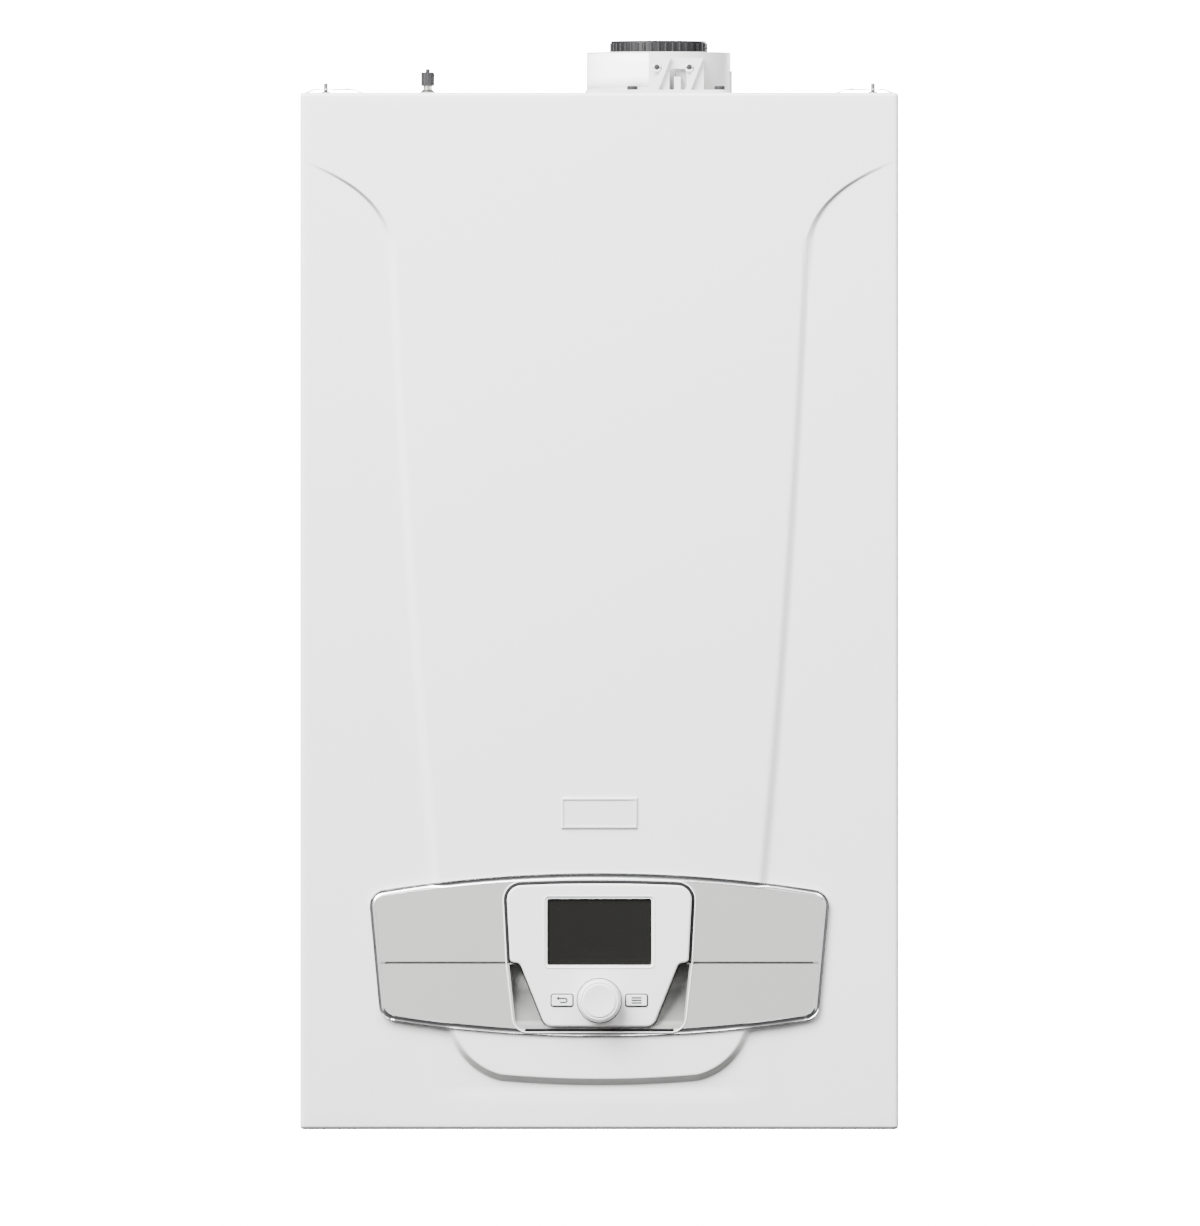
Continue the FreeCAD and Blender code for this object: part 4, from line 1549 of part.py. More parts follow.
def return_group():
    """Return manifold: upright body, pump volute, ports to the plate exchanger and the cold-water branch."""
    centre = V(RETURN_X, TAIL_Y, TAIL_TOP)
    body = rod(GROUP_RADIUS, centre, V(RETURN_X, TAIL_Y, VOLUTE_LEVEL))
    volute = rod(VOLUTE_RADIUS, V(RETURN_X, -VOLUTE_FRONT, VOLUTE_LEVEL),
                 V(RETURN_X, -VOLUTE_FRONT + VOLUTE_THICK, VOLUTE_LEVEL))
    middle = -VOLUTE_FRONT + VOLUTE_THICK / 2
    outlet = rod(GROUP_RADIUS, V(RETURN_X, middle, VOLUTE_LEVEL), V(RETURN_X, middle, PUMP_OUTLET_TOP))
    port_x = RETURN_X - 3 * PORT_RADIUS
    ports = [rod(PORT_RADIUS, V(port_x, -PLATE_FRONT, z), V(port_x, TAIL_Y, z))
             for z in (PLATE_PORT_LOW, PLATE_PORT_HIGH)]
    links = [rod(PORT_RADIUS, V(port_x, TAIL_Y, z), V(RETURN_X, TAIL_Y, z))
             for z in (PLATE_PORT_LOW, PLATE_PORT_HIGH)]
    knees = [Part.makeSphere(PORT_RADIUS, V(port_x, TAIL_Y, z)) for z in (PLATE_PORT_LOW, PLATE_PORT_HIGH)]
    branch = V(TAIL_PITCH, TAIL_Y, BRANCH_LEVEL)
    cold = [rod(BRANCH_RADIUS, V(RETURN_X, TAIL_Y, BRANCH_LEVEL), branch), Part.makeSphere(BRANCH_RADIUS, branch),
            rod(BRANCH_RADIUS, branch, V(TAIL_PITCH, TAIL_Y, TAIL_TOP))]
    relief_seat = V(RELIEF_X, TAIL_Y, BRANCH_LEVEL)
    seat = rod(RELIEF_RADIUS, relief_seat, relief_seat - V(0, GROUP_RADIUS, 0))
    return joined(body, volute, outlet, seat, *ports, *links, *knees, *cold)


def pump_motor():
    """Pump motor on the volute, ribbed along its length, with a terminal box underneath."""
    back = V(RETURN_X, -VOLUTE_FRONT, VOLUTE_LEVEL)
    front = back - V(0, PUMP_LENGTH, 0)
    body = rod(PUMP_RADIUS - PUMP_FIN, back, front)
    flange = rod(PUMP_RADIUS, back, back - V(0, 2 * PUMP_FIN, 0))
    fins = []
    fin = block((RETURN_X, RETURN_X + PUMP_RADIUS), (front.y + 2 * PUMP_FIN, back.y),
                (VOLUTE_LEVEL - PUMP_FIN / 2, VOLUTE_LEVEL + PUMP_FIN / 2))
    for i in range(PUMP_FINS):
        turned = fin.copy()
        turned.rotate(back, Y_AXIS, 360.0 * i / PUMP_FINS)
        fins.append(turned)
    cap = rod(PUMP_RADIUS * 0.35, front, front - V(0, PUMP_FIN, 0))
    return joined(body, flange, cap, *fins)


def relief_valve():
    """Safety valve on the cold branch, its stem forward for the knob and its outlet downwards."""
    seat = V(RELIEF_X, TAIL_Y - GROUP_RADIUS, BRANCH_LEVEL)
    front = seat - V(0, RELIEF_REACH - GROUP_RADIUS, 0)
    body = rod(RELIEF_RADIUS * 1.2, seat, front)
    outlet = seat - V(0, (RELIEF_REACH - GROUP_RADIUS) / 2, 0)
    spout = rod(RELIEF_RADIUS * 0.7, outlet, outlet - V(0, 0, BRANCH_LEVEL - TAIL_TOP))
    stem = rod(RELIEF_STEM, front, front - V(0, RELIEF_KNOB_LENGTH * 0.8, 0))
    return joined(body, spout, stem)


def relief_knob():
    """Lobed knob on the safety valve's stem."""
    back = V(RELIEF_X, TAIL_Y - RELIEF_REACH - EDGE_GAP, BRANCH_LEVEL)
    front = back - V(0, RELIEF_KNOB_LENGTH, 0)
    body = rod(RELIEF_KNOB_RADIUS, back, front)
    lobes = 8
    for i in range(lobes):
        angle = 2 * math.pi * i / lobes
        reach = RELIEF_KNOB_RADIUS * 1.1
        place = back + V(reach * math.cos(angle), 0, reach * math.sin(angle))
        body = body.cut(rod(RELIEF_KNOB_RADIUS / 4, place, place - V(0, RELIEF_KNOB_LENGTH, 0)))
    return body.cut(rod(RELIEF_STEM + RELIEF_CLEAR, back, back - V(0, RELIEF_KNOB_LENGTH * 0.8, 0)))


def plate_exchanger():
    """Brazed plate exchanger: a stack of lapped plates between two thicker end plates."""
    def plate(inset, front, thick):
        half = PLATE_WIDTH / 2 - inset
        rise = PLATE_HEIGHT / 2 - inset
        body = block((-half, half), (front, front + thick), (PLATE_LEVEL - rise, PLATE_LEVEL + rise))
        return body.makeFillet(PLATE_CORNER - inset, edges_along(body, Y_AXIS))
    front = -PLATE_FRONT
    core = plate(PLATE_LAP, front, (PLATE_COUNT - 1) * PLATE_PITCH + PLATE_THICK)
    return joined(core, *[plate(0, front + i * PLATE_PITCH, PLATE_THICK) for i in range(PLATE_COUNT)])


def vessel_form(inset):
    """Flat round body of the expansion vessel with soft shoulders, drawn in by inset."""
    def at(x, radius):
        return V(x, VESSEL_Y, VESSEL_LEVEL + radius)
    outer = VESSEL_OUTER + inset
    inner = VESSEL_INNER - inset
    rim = VESSEL_RADIUS - inset
    soft = VESSEL_SHOULDER - inset
    bow = soft * (1 - math.sqrt(0.5))
    left = Part.Arc(at(outer, rim - soft), at(outer + bow, rim - bow), at(outer + soft, rim)).toShape()
    right = Part.Arc(at(inner - soft, rim), at(inner - bow, rim - bow), at(inner, rim - soft)).toShape()
    close = [at(inner, rim - soft), at(inner, 0), at(outer, 0), at(outer, rim - soft)]
    edges = [left, Part.makeLine(at(outer + soft, rim), at(inner - soft, rim)), right]
    edges += [Part.makeLine(a, b) for a, b in zip(close, close[1:])]
    return Part.Face(Part.Wire(edges)).revolve(at(0, 0), X_AXIS, 360)


def expansion_vessel():
    """Hollow expansion vessel: two dished halves on a seam, wall bracket and water port."""
    middle = V(VESSEL_MID, VESSEL_Y, VESSEL_LEVEL)
    seam = tube(VESSEL_RADIUS + VESSEL_SEAM, VESSEL_RADIUS - VESSEL_WALL, middle - V(VESSEL_WALL, 0, 0),
                middle + V(VESSEL_WALL, 0, 0))
    half = VESSEL_BRACKET / 2
    near = VESSEL_MID + VESSEL_SHOULDER / 4
    bracket = block((near, near + VESSEL_SHOULDER), (VESSEL_Y + VESSEL_RADIUS - VESSEL_SHOULDER, BACK_FIELD),
                    (VESSEL_LEVEL - half, VESSEL_LEVEL + half))
    port = V(VESSEL_PIPE_X, TAIL_Y, VESSEL_LEVEL - VESSEL_RADIUS + VESSEL_SHOULDER)
    mouth = port - V(0, 0, VESSEL_SHOULDER + VESSEL_PORT_LENGTH)
    solid = joined(vessel_form(0), seam, bracket, rod(VESSEL_PORT, port, mouth))
    return solid.cut(vessel_form(VESSEL_WALL)).cut(rod(VESSEL_PIPE_RADIUS - PIPE_WALL, port, mouth))


def vessel_pipe():
    """Small pipe from the vessel's port down to the flow group."""
    top = V(VESSEL_PIPE_X, TAIL_Y, VESSEL_LEVEL - VESSEL_RADIUS - VESSEL_PORT_LENGTH)
    corner = V(VESSEL_PIPE_X, TAIL_Y, VESSEL_PIPE_LEVEL)
    end = V(FLOW_X - GROUP_RADIUS - VESSEL_PORT / 2, TAIL_Y, VESSEL_PIPE_LEVEL)
    return bent_pipe(VESSEL_PIPE_RADIUS, PIPE_WALL, [top, corner, end], VESSEL_PIPE_BEND)


def flow_pipe():
    """Copper pipe from the drum's flow port down to the flow group."""
    start = drum_foot(FLOW_PORT_X)
    points = [start, V(start.x, PORT_Y, FLOW_PIPE_TURN), V(FLOW_X, PORT_Y, FLOW_PIPE_TURN),
              V(FLOW_X, PORT_Y, FLOW_PIPE_SET), V(FLOW_X, TAIL_Y, FLOW_PIPE_SET), V(FLOW_X, TAIL_Y, FLOW_GROUP_TOP)]
    return bent_pipe(PIPE_RADIUS, PIPE_WALL, points, PIPE_BEND)


def return_pipe():
    """Copper pipe from the pump's outlet up to the drum's return port."""
    start = drum_foot(RETURN_PORT_X)
    middle = -VOLUTE_FRONT + VOLUTE_THICK / 2
    points = [start, V(start.x, PORT_Y, RETURN_PIPE_TURN), V(RETURN_PIPE_X, PORT_Y, RETURN_PIPE_TURN),
              V(RETURN_PIPE_X, PORT_Y, RETURN_PIPE_SET), V(RETURN_X, middle, RETURN_PIPE_SET),
              V(RETURN_X, middle, PUMP_OUTLET_TOP)]
    return bent_pipe(PIPE_RADIUS, PIPE_WALL, points, PIPE_BEND * 0.75)


def condensate_trap():
    """Moulded condensate trap: ringed bottle with a hose inlet on top and a spigot through the floor."""
    low = TRAP_PLACE
    top = V(low.x, low.y, TRAP_TOP)
    bottle = rod(TRAP_RADIUS, low, top)
    pitch = (TRAP_TOP - BOTTOM_LEVEL) / (TRAP_RINGS + 1)
    rings = [rod(TRAP_RADIUS + TRAP_WALL, low + V(0, 0, (i + 0.5) * pitch), low + V(0, 0, (i + 0.5) * pitch + TRAP_WALL))
             for i in range(TRAP_RINGS)]
    inlet = rod(DRAIN_RADIUS, top, top + V(0, 0, 2 * DRAIN_RADIUS))
    spigot = rod(TRAP_SPIGOT, V(low.x, low.y, TAIL_FOOT), low)
    room = rod(TRAP_RADIUS - TRAP_WALL, low + V(0, 0, TRAP_WALL), top - V(0, 0, TRAP_WALL))
    way = rod(TRAP_SPIGOT - TRAP_WALL, V(low.x, low.y, TAIL_FOOT), top + V(0, 0, 2 * DRAIN_RADIUS))
    return joined(bottle, inlet, spigot, *rings).cut(room).cut(way)


def condensate_hose():
    """Drain hose from the drum down to the trap's inlet."""
    start = drum_foot(DRAIN_PORT_X)
    end = V(TRAP_PLACE.x, TRAP_PLACE.y, TRAP_TOP + 2 * DRAIN_RADIUS)
    points = [start, V(start.x, start.y, DRAIN_TURN), V(end.x, end.y, DRAIN_TURN), end]
    return bent_pipe(DRAIN_RADIUS, TRAP_WALL, points, DRAIN_BEND)


def cable_gland():
    """Gland for the mains lead in the bottom panel, with its nut above the panel."""
    seat = V(GLAND_X, -GLAND_DEPTH, BOTTOM_LEVEL)
    up = V(0, 0, GLAND_NUT / 3)
    body = rod(GLAND_RADIUS, seat - V(0, 0, GLAND_LENGTH / 2), seat + up)
    nut = rod(GLAND_NUT, seat, seat + up)
    dome = rod(GLAND_NUT * 0.9, seat - V(0, 0, GLAND_LENGTH), seat - V(0, 0, SHEET))
    dome = dome.makeFillet(GLAND_LENGTH / 4, edges_in_plane(dome, seat.z - GLAND_LENGTH, Z_AXIS))
    return joined(body, nut, dome).cut(rod(GLAND_BORE, seat - V(0, 0, GLAND_LENGTH), seat + up))


def build():
    """Every piece by its node name."""
    side = right_side_panel()
    button = right_button()
    left_plug, right_plug = test_plug_places()
    return {
        "back_panel": back_panel(), "left_side_panel": mirrored(side), "right_side_panel": side,
        "top_panel": top_panel(), "bottom_panel": bottom_panel(), "hinge_rail": hinge_rail(),
        "opening_seal": opening_seal(), "locating_studs": locating_studs(), "casing_screws": casing_screws(),
        "front_panel": front_panel(), "badge_plate": badge_plate(), "panel_screws": panel_screws(),
        "facia_band": facia_band(), "facia_trim": facia_trim(), "control_box": control_box(),
        "control_box_cover": control_box_cover(), "main_board": main_board(), "unit_front": unit_front(),
        "unit_rear": unit_rear(), "display_window": display_window(), "display_module": display_module(),
        "unit_board": unit_board(), "encoder_rotor": encoder_rotor(), "knob": knob(),
        "back_button": mirrored(button), "menu_button": button, "flue_adapter": flue_adapter(),
        "flue_seal": flue_seal(), "left_test_plug": test_plug(left_plug), "right_test_plug": test_plug(right_plug),
        "charge_valve": charge_valve(), "charge_valve_cap": charge_valve_cap(),
        "exchanger_shell": exchanger_shell(), "exchanger_coil": exchanger_coil(), "burner": burner(),
        "burner_door": burner_door(), "burner_door_nuts": burner_door_nuts(), "electrodes": electrodes(),
        "fan_housing": fan_housing(), "fan_motor": fan_motor(), "fan_impeller": fan_impeller(),
        "gas_air_mixer": gas_air_mixer(), "gas_valve": gas_valve(), "gas_mixer_pipe": gas_mixer_pipe(),
        "gas_inlet_pipe": gas_inlet_pipe(), "connection_tails": connection_tails(), "flow_group": flow_group(),
        "diverter_motor": diverter_motor(), "return_group": return_group(), "pump_motor": pump_motor(),
        "relief_valve": relief_valve(), "relief_knob": relief_knob(), "plate_exchanger": plate_exchanger(),
        "expansion_vessel": expansion_vessel(), "vessel_pipe": vessel_pipe(), "flow_pipe": flow_pipe(),
        "return_pipe": return_pipe(), "condensate_trap": condensate_trap(), "condensate_hose": condensate_hose(),
        "cable_gland": cable_gland(),
    }


os.makedirs("parts", exist_ok=True)
for name, shape in build().items():
    shape.exportStep("parts/" + name + ".step")
    print(name, len(shape.Solids), shape.isValid(), round(shape.Volume))
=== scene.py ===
"""Dressing and studio for a wall-hung gas boiler. The frame's pieces come from CAD, in metres, +Z up,
with the wall at Y = 0 and the front facing -Y. Lengths below are in millimetres, one section per piece."""

import bmesh
import bpy
import numpy as np
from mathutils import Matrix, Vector


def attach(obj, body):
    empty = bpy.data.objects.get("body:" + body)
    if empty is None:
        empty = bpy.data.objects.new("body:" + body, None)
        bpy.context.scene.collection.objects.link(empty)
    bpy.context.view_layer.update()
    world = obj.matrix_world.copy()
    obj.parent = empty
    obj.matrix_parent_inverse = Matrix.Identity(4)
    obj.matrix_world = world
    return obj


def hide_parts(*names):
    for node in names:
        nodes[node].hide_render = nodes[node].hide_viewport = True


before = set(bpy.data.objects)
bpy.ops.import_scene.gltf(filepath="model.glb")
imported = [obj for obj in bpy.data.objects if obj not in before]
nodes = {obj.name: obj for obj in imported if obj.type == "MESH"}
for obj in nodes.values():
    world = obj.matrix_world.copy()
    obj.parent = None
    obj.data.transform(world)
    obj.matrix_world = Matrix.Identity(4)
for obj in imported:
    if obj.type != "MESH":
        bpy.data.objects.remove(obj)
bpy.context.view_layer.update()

# Casing: sides, roof and floor of folded sheet steel, stove-enamelled white before assembly.
# The enamel dries with a very fine orange-peel skin, which breaks up its soft gloss.
ENAMEL_WHITE = (0.80, 0.80, 0.795)
ENAMEL_SHADE = (0.775, 0.775, 0.77)
MM = 0.001
MOTTLE_LOW = 0.3
MOTTLE_HIGH = 0.7
SKIN_DEPTH = 0.4


def new_group(name, inputs, outputs):
    """An empty shader node group with float inputs (name, value) and float outputs."""
    group = bpy.data.node_groups.new(name, "ShaderNodeTree")
    for label, value in inputs:
        group.interface.new_socket(label, in_out="INPUT", socket_type="NodeSocketFloat").default_value = value
    for label in outputs:
        group.interface.new_socket(label, in_out="OUTPUT", socket_type="NodeSocketFloat")
    return group, group.nodes.new("NodeGroupInput"), group.nodes.new("NodeGroupOutput")


def grain_group():
    """Fine and coarse noise on Object coordinates: Height is the fine skin, Mottle the slow variation,
    with Fine and Coarse as their scales per metre, and both centred on one half."""
    group, given, out = new_group("skin_grain", [("Fine", 900.0), ("Coarse", 18.0)], ["Height", "Mottle"])
    place = group.nodes.new("ShaderNodeTexCoord")
    for label, octaves, result in (("Fine", 2.0, "Height"), ("Coarse", 3.0, "Mottle")):
        noise = group.nodes.new("ShaderNodeTexNoise")
        noise.inputs["Detail"].default_value = octaves
        group.links.new(place.outputs["Object"], noise.inputs["Vector"])
        group.links.new(given.outputs[label], noise.inputs["Scale"])
        group.links.new(noise.outputs["Fac"], out.inputs[result])
    return group


skin_grain = grain_group()


def finish(name, colour, shade, roughness, spread=0.06, fine=900.0, coarse=18.0, bump=0.05, metallic=0.0,
           **sockets):
    """A surface that drifts between two close colours and two close roughnesses with the coarse noise,
    under a bump of the fine noise."""
    material = bpy.data.materials.new(name)
    material.use_nodes = True
    tree = material.node_tree
    shader = tree.nodes["Principled BSDF"]
    shader.inputs["Metallic"].default_value = metallic
    for socket, value in sockets.items():
        shader.inputs[socket.replace("_", " ")].default_value = value
    grain = tree.nodes.new("ShaderNodeGroup")
    grain.node_tree = skin_grain
    grain.inputs["Fine"].default_value = fine
    grain.inputs["Coarse"].default_value = coarse
    tint = tree.nodes.new("ShaderNodeMix")
    tint.data_type = "RGBA"
    tint.inputs["A"].default_value = (*colour, 1)
    tint.inputs["B"].default_value = (*shade, 1)
    tree.links.new(grain.outputs["Mottle"], tint.inputs["Factor"])
    tree.links.new(tint.outputs["Result"], shader.inputs["Base Color"])
    rough = tree.nodes.new("ShaderNodeMapRange")
    rough.inputs["From Min"].default_value = MOTTLE_LOW
    rough.inputs["From Max"].default_value = MOTTLE_HIGH
    rough.inputs["To Min"].default_value = roughness - spread
    rough.inputs["To Max"].default_value = roughness + spread
    tree.links.new(grain.outputs["Mottle"], rough.inputs["Value"])
    tree.links.new(rough.outputs["Result"], shader.inputs["Roughness"])
    relief = tree.nodes.new("ShaderNodeBump")
    relief.inputs["Strength"].default_value = bump
    relief.inputs["Distance"].default_value = SKIN_DEPTH * MM
    tree.links.new(grain.outputs["Height"], relief.inputs["Height"])
    tree.links.new(relief.outputs["Normal"], shader.inputs["Normal"])
    return material


def dress(material, *names):
    """Gives CAD nodes their finish."""
    for name in names:
        nodes[name].data.materials.clear()
        nodes[name].data.materials.append(material)


def enamel_coat(name):
    """The casing's white enamel, under a thin clear gloss."""
    return finish(name, ENAMEL_WHITE, ENAMEL_SHADE, 0.34, fine=700.0, coarse=6.0, bump=0.06,
                  Coat_Weight=0.15, Coat_Roughness=0.2)


enamel = enamel_coat("white_enamel")
dress(enamel, "left_side_panel", "right_side_panel", "top_panel", "bottom_panel")

# Back panel and hinge rail: bare galvanised sheet, with the pale crystals of the zinc bath.
# Both are cut and folded and left unpainted, since the wall and the front panel hide them.
ZINC_PALE = (0.62, 0.64, 0.65)
ZINC_DARK = (0.50, 0.52, 0.54)
galvanised = finish("galvanised_sheet", ZINC_PALE, ZINC_DARK, 0.42, spread=0.12, fine=260.0, coarse=90.0,
                    bump=0.05, metallic=0.6)
dress(galvanised, "back_panel", "hinge_rail")

# Opening seal: a strip of black closed-cell foam, stuck to the lips that the front panel closes on.
# It is cut from sheet, so its faces are matt and finely pitted.
FOAM_BLACK = (0.028, 0.028, 0.030)
FOAM_GREY = (0.045, 0.045, 0.048)
foam = finish("seal_foam", FOAM_BLACK, FOAM_GREY, 0.9, fine=1400.0, coarse=60.0, bump=0.6)
dress(foam, "opening_seal")

# Fasteners: the burner door's nuts and the charge valve's stem are turned steel, zinc-plated bright.
# The roof's two studs, which the front panel's tabs drop behind, are blackened steel pressed into the sheet.
PLATED_PALE = (0.74, 0.73, 0.70)
PLATED_DARK = (0.60, 0.59, 0.57)
plated = finish("zinc_plating", PLATED_PALE, PLATED_DARK, 0.3, fine=1800.0, coarse=120.0, bump=0.03,
                metallic=1.0)
dress(plated, "burner_door_nuts", "charge_valve")
STUD_PALE = (0.20, 0.20, 0.195)
STUD_DARK = (0.14, 0.14, 0.138)
stud_steel = finish("blackened_steel", STUD_PALE, STUD_DARK, 0.36, fine=1800.0, coarse=120.0, bump=0.03,
                    metallic=0.8)
dress(stud_steel, "locating_studs")

# Combustion parts: composite exchanger drum, cast aluminium door, fan, mixer and gas valve, bolted together.
# Coil, burner, impeller and plate exchanger are bright sheet metal. The electrodes are sleeved in ceramic.
COMPOSITE_COLOUR = (0.10, 0.103, 0.108)
COMPOSITE_SHADE = (0.085, 0.088, 0.092)
composite = finish("glass_filled_plastic", COMPOSITE_COLOUR, COMPOSITE_SHADE, 0.55, fine=900.0,
                   bump=0.3)
dress(composite, "exchanger_shell")
CASTING_COLOUR = (0.62, 0.63, 0.64)
CASTING_SHADE = (0.52, 0.53, 0.54)
casting = finish("cast_aluminium", CASTING_COLOUR, CASTING_SHADE, 0.45, spread=0.1, fine=700.0,
                 coarse=60.0, bump=0.35, metallic=1.0)
dress(casting, "burner_door", "fan_housing", "fan_motor", "gas_air_mixer", "gas_valve")
SHEET_METAL_COLOUR = (0.70, 0.71, 0.72)
SHEET_METAL_SHADE = (0.60, 0.61, 0.62)
sheet_metal = finish("bright_sheet", SHEET_METAL_COLOUR, SHEET_METAL_SHADE, 0.3, fine=1500.0, bump=0.05,
                     metallic=1.0)
dress(sheet_metal, "fan_impeller", "exchanger_coil", "plate_exchanger", "burner")
CERAMIC_COLOUR = (0.82, 0.79, 0.72)
CERAMIC_SHADE = (0.78, 0.75, 0.68)
ceramic = finish("electrode_ceramic", CERAMIC_COLOUR, CERAMIC_SHADE, 0.4, fine=1200.0, bump=0.1)
dress(ceramic, "electrodes")

# Water parts: machined brass groups, threaded brass tails through the floor, and drawn copper pipes.
# The vessel is pressed steel enamelled red. The pump is painted dark, the trap moulded and the hose rubber.
BRASS_PALE = (0.68, 0.50, 0.22)
BRASS_DARK = (0.56, 0.40, 0.17)
THREAD_PITCH = 1.8
THREAD_DEPTH = 0.3
brass, thread_brass = (finish(name, BRASS_PALE, BRASS_DARK, 0.34, spread=0.08, fine=900.0, coarse=70.0,
                              bump=0.12, metallic=1.0) for name in ("machined_brass", "threaded_brass"))
dress(brass, "flow_group", "return_group", "relief_valve")


def thread_group():
    """Height of a thread: a sine along the piece's own Z, one wave per Pitch, in metres."""
    group, given, out = new_group("thread_rings", [("Pitch", 1.0)], ["Height"])
    place = group.nodes.new("ShaderNodeTexCoord")
    parts = group.nodes.new("ShaderNodeSeparateXYZ")
    count = group.nodes.new("ShaderNodeMath")
    count.operation = "DIVIDE"
    angle = group.nodes.new("ShaderNodeMath")
    angle.operation = "MULTIPLY"
    angle.inputs[1].default_value = 2 * np.pi
    wave = group.nodes.new("ShaderNodeMath")
    wave.operation = "SINE"
    group.links.new(place.outputs["Object"], parts.inputs["Vector"])
    group.links.new(parts.outputs["Z"], count.inputs[0])
    group.links.new(given.outputs["Pitch"], count.inputs[1])
    group.links.new(count.outputs["Value"], angle.inputs[0])
    group.links.new(angle.outputs["Value"], wave.inputs[0])
    group.links.new(wave.outputs["Value"], out.inputs["Height"])
    return group


tail_tree = thread_brass.node_tree
thread = tail_tree.nodes.new("ShaderNodeGroup")
thread.node_tree = thread_group()
thread.inputs["Pitch"].default_value = THREAD_PITCH * MM
ridge = tail_tree.nodes.new("ShaderNodeBump")
ridge.inputs["Strength"].default_value = 0.9
ridge.inputs["Distance"].default_value = THREAD_DEPTH * MM
tail_shader = tail_tree.nodes["Principled BSDF"]
tail_tree.links.new(tail_shader.inputs["Normal"].links[0].from_socket, ridge.inputs["Normal"])
tail_tree.links.new(thread.outputs["Height"], ridge.inputs["Height"])
tail_tree.links.new(ridge.outputs["Normal"], tail_shader.inputs["Normal"])
dress(thread_brass, "connection_tails")
COPPER_COLOUR = (0.74, 0.38, 0.24)
COPPER_SHADE = (0.60, 0.28, 0.17)
copper = finish("drawn_copper", COPPER_COLOUR, COPPER_SHADE, 0.3, spread=0.08, fine=600.0,
                coarse=45.0, bump=0.05, metallic=1.0)
dress(copper, "flow_pipe", "return_pipe", "vessel_pipe", "gas_inlet_pipe", "gas_mixer_pipe")
RED_ENAMEL_COLOUR = (0.36, 0.018, 0.014)
RED_ENAMEL_SHADE = (0.31, 0.015, 0.012)
red_enamel = finish("vessel_enamel", RED_ENAMEL_COLOUR, RED_ENAMEL_SHADE, 0.35, fine=500.0, bump=0.1)
dress(red_enamel, "expansion_vessel", "relief_knob")
PUMP_PAINT_COLOUR = (0.035, 0.037, 0.040)
PUMP_PAINT_SHADE = (0.05, 0.052, 0.056)
pump_paint = finish("pump_paint", PUMP_PAINT_COLOUR, PUMP_PAINT_SHADE, 0.5, fine=800.0, bump=0.3)
dress(pump_paint, "pump_motor")
TRAP_PLASTIC_COLOUR = (0.60, 0.60, 0.58)
TRAP_PLASTIC_SHADE = (0.55, 0.55, 0.53)
trap_plastic = finish("trap_moulding", TRAP_PLASTIC_COLOUR, TRAP_PLASTIC_SHADE, 0.4, fine=900.0, bump=0.15)
dress(trap_plastic, "condensate_trap")
HOSE_RUBBER_COLOUR = (0.16, 0.165, 0.17)
HOSE_RUBBER_SHADE = (0.13, 0.135, 0.14)
hose_rubber = finish("hose_rubber", HOSE_RUBBER_COLOUR, HOSE_RUBBER_SHADE, 0.6, fine=900.0, bump=0.2)
dress(hose_rubber, "condensate_hose")

# Front panel: one pressed sheet. A shield in the middle stands proud of two side fields and a foot strip,
# with a soft step round it that fades out at the panel's sides; the edges are folded back over the casing.
# Its enamel is painted a darker grey where it faces down, as painted shade.
UNDERSIDE_PAINTED_SHADE = (0.27, 0.27, 0.266)
UNDERSIDE_START = -0.17
UNDERSIDE_END = -0.5
PANEL_HALF = 225.0
PANEL_HEIGHT = 780.0
PANEL_FACE = -345.0
PANEL_BACK = -305.0
SHEET = 1.0
EDGE_ROUND = 3.0
RELIEF = 4.0
FIELD_RUN = 88.0
FOOT_DIP = 1.4
FOOT_DIP_LOW = 21.5
FOOT_DIP_RISE = 10.0
FOOT_DIP_HIGH = 100.0
FOOT_DIP_HALF = 126.0
FOOT_DIP_EASE = 34.0
STEP_WIDTH = 5.4
STEP_ROUND = 0.16
SHOULDER_STEP = 2.5
SHOULDER_BAND = (668.0, 700.0)
SHOULDER_TURN = 160.0
SHOULDER_NEAR = 6.0
SHOULDER_CLEAR = 7.0
OUTLINE_TOP = 800.0
SHOULDER = np.array([(237.0, 734.0), (179.0, 712.0), (155.0, 694.0), (155.0, 644.0)])
SIDE_ARC = np.array([(155.0, 644.0), (138.0, 361.0), (112.0, 78.0)])
FOOT_ARC = np.array([(112.0, 78.0), (100.0, 54.5), (74.0, 39.0)])
BASE_ARC = np.array([(74.0, 39.0), (0.0, 35.7), (-74.0, 39.0)])
FACIA_TOP = 191.7
FACIA_FOOT = 71.0
FACIA_TOP_HALF = 172.6
FACIA_FOOT_HALF = 164.0
FACIA_TOP_CROWN = 14.4
FACIA_FOOT_CROWN = 13.3
FACIA_CORNER = 10.8
FACIA_GAP = 1.0
MIDDLE_HALF = 60.0
MIDDLE_STEP = 5.0
WING_HALF = 150.0
WING_STEP = 1.2
TIP_STEP = 0.5
TIP_INSIDE = 0.3
TIP_OUTSIDE = 0.6
TIP_COLUMNS = np.array([0.25, 0.06, 0])
SIDE_COLUMNS = 15
ROWS_BELOW = np.concatenate([np.linspace(0, 0.4, 9), np.linspace(0.42, 0.994, 44), [1]])
ROWS_ABOVE = np.concatenate([[0, 0.0008], np.linspace(0.03, 1, 24)])
SHOULDER_ROWS = 21
TOP_ROWS = 12
SIDE_SEARCH = np.linspace(-40, 150, 20001)
CORNER_STEPS = 16
ARCH_STEPS = 181
SIDE_STEPS = 24
QUARTER_TURN = np.linspace(0, np.pi / 2, 7)
TINY = 1e-9


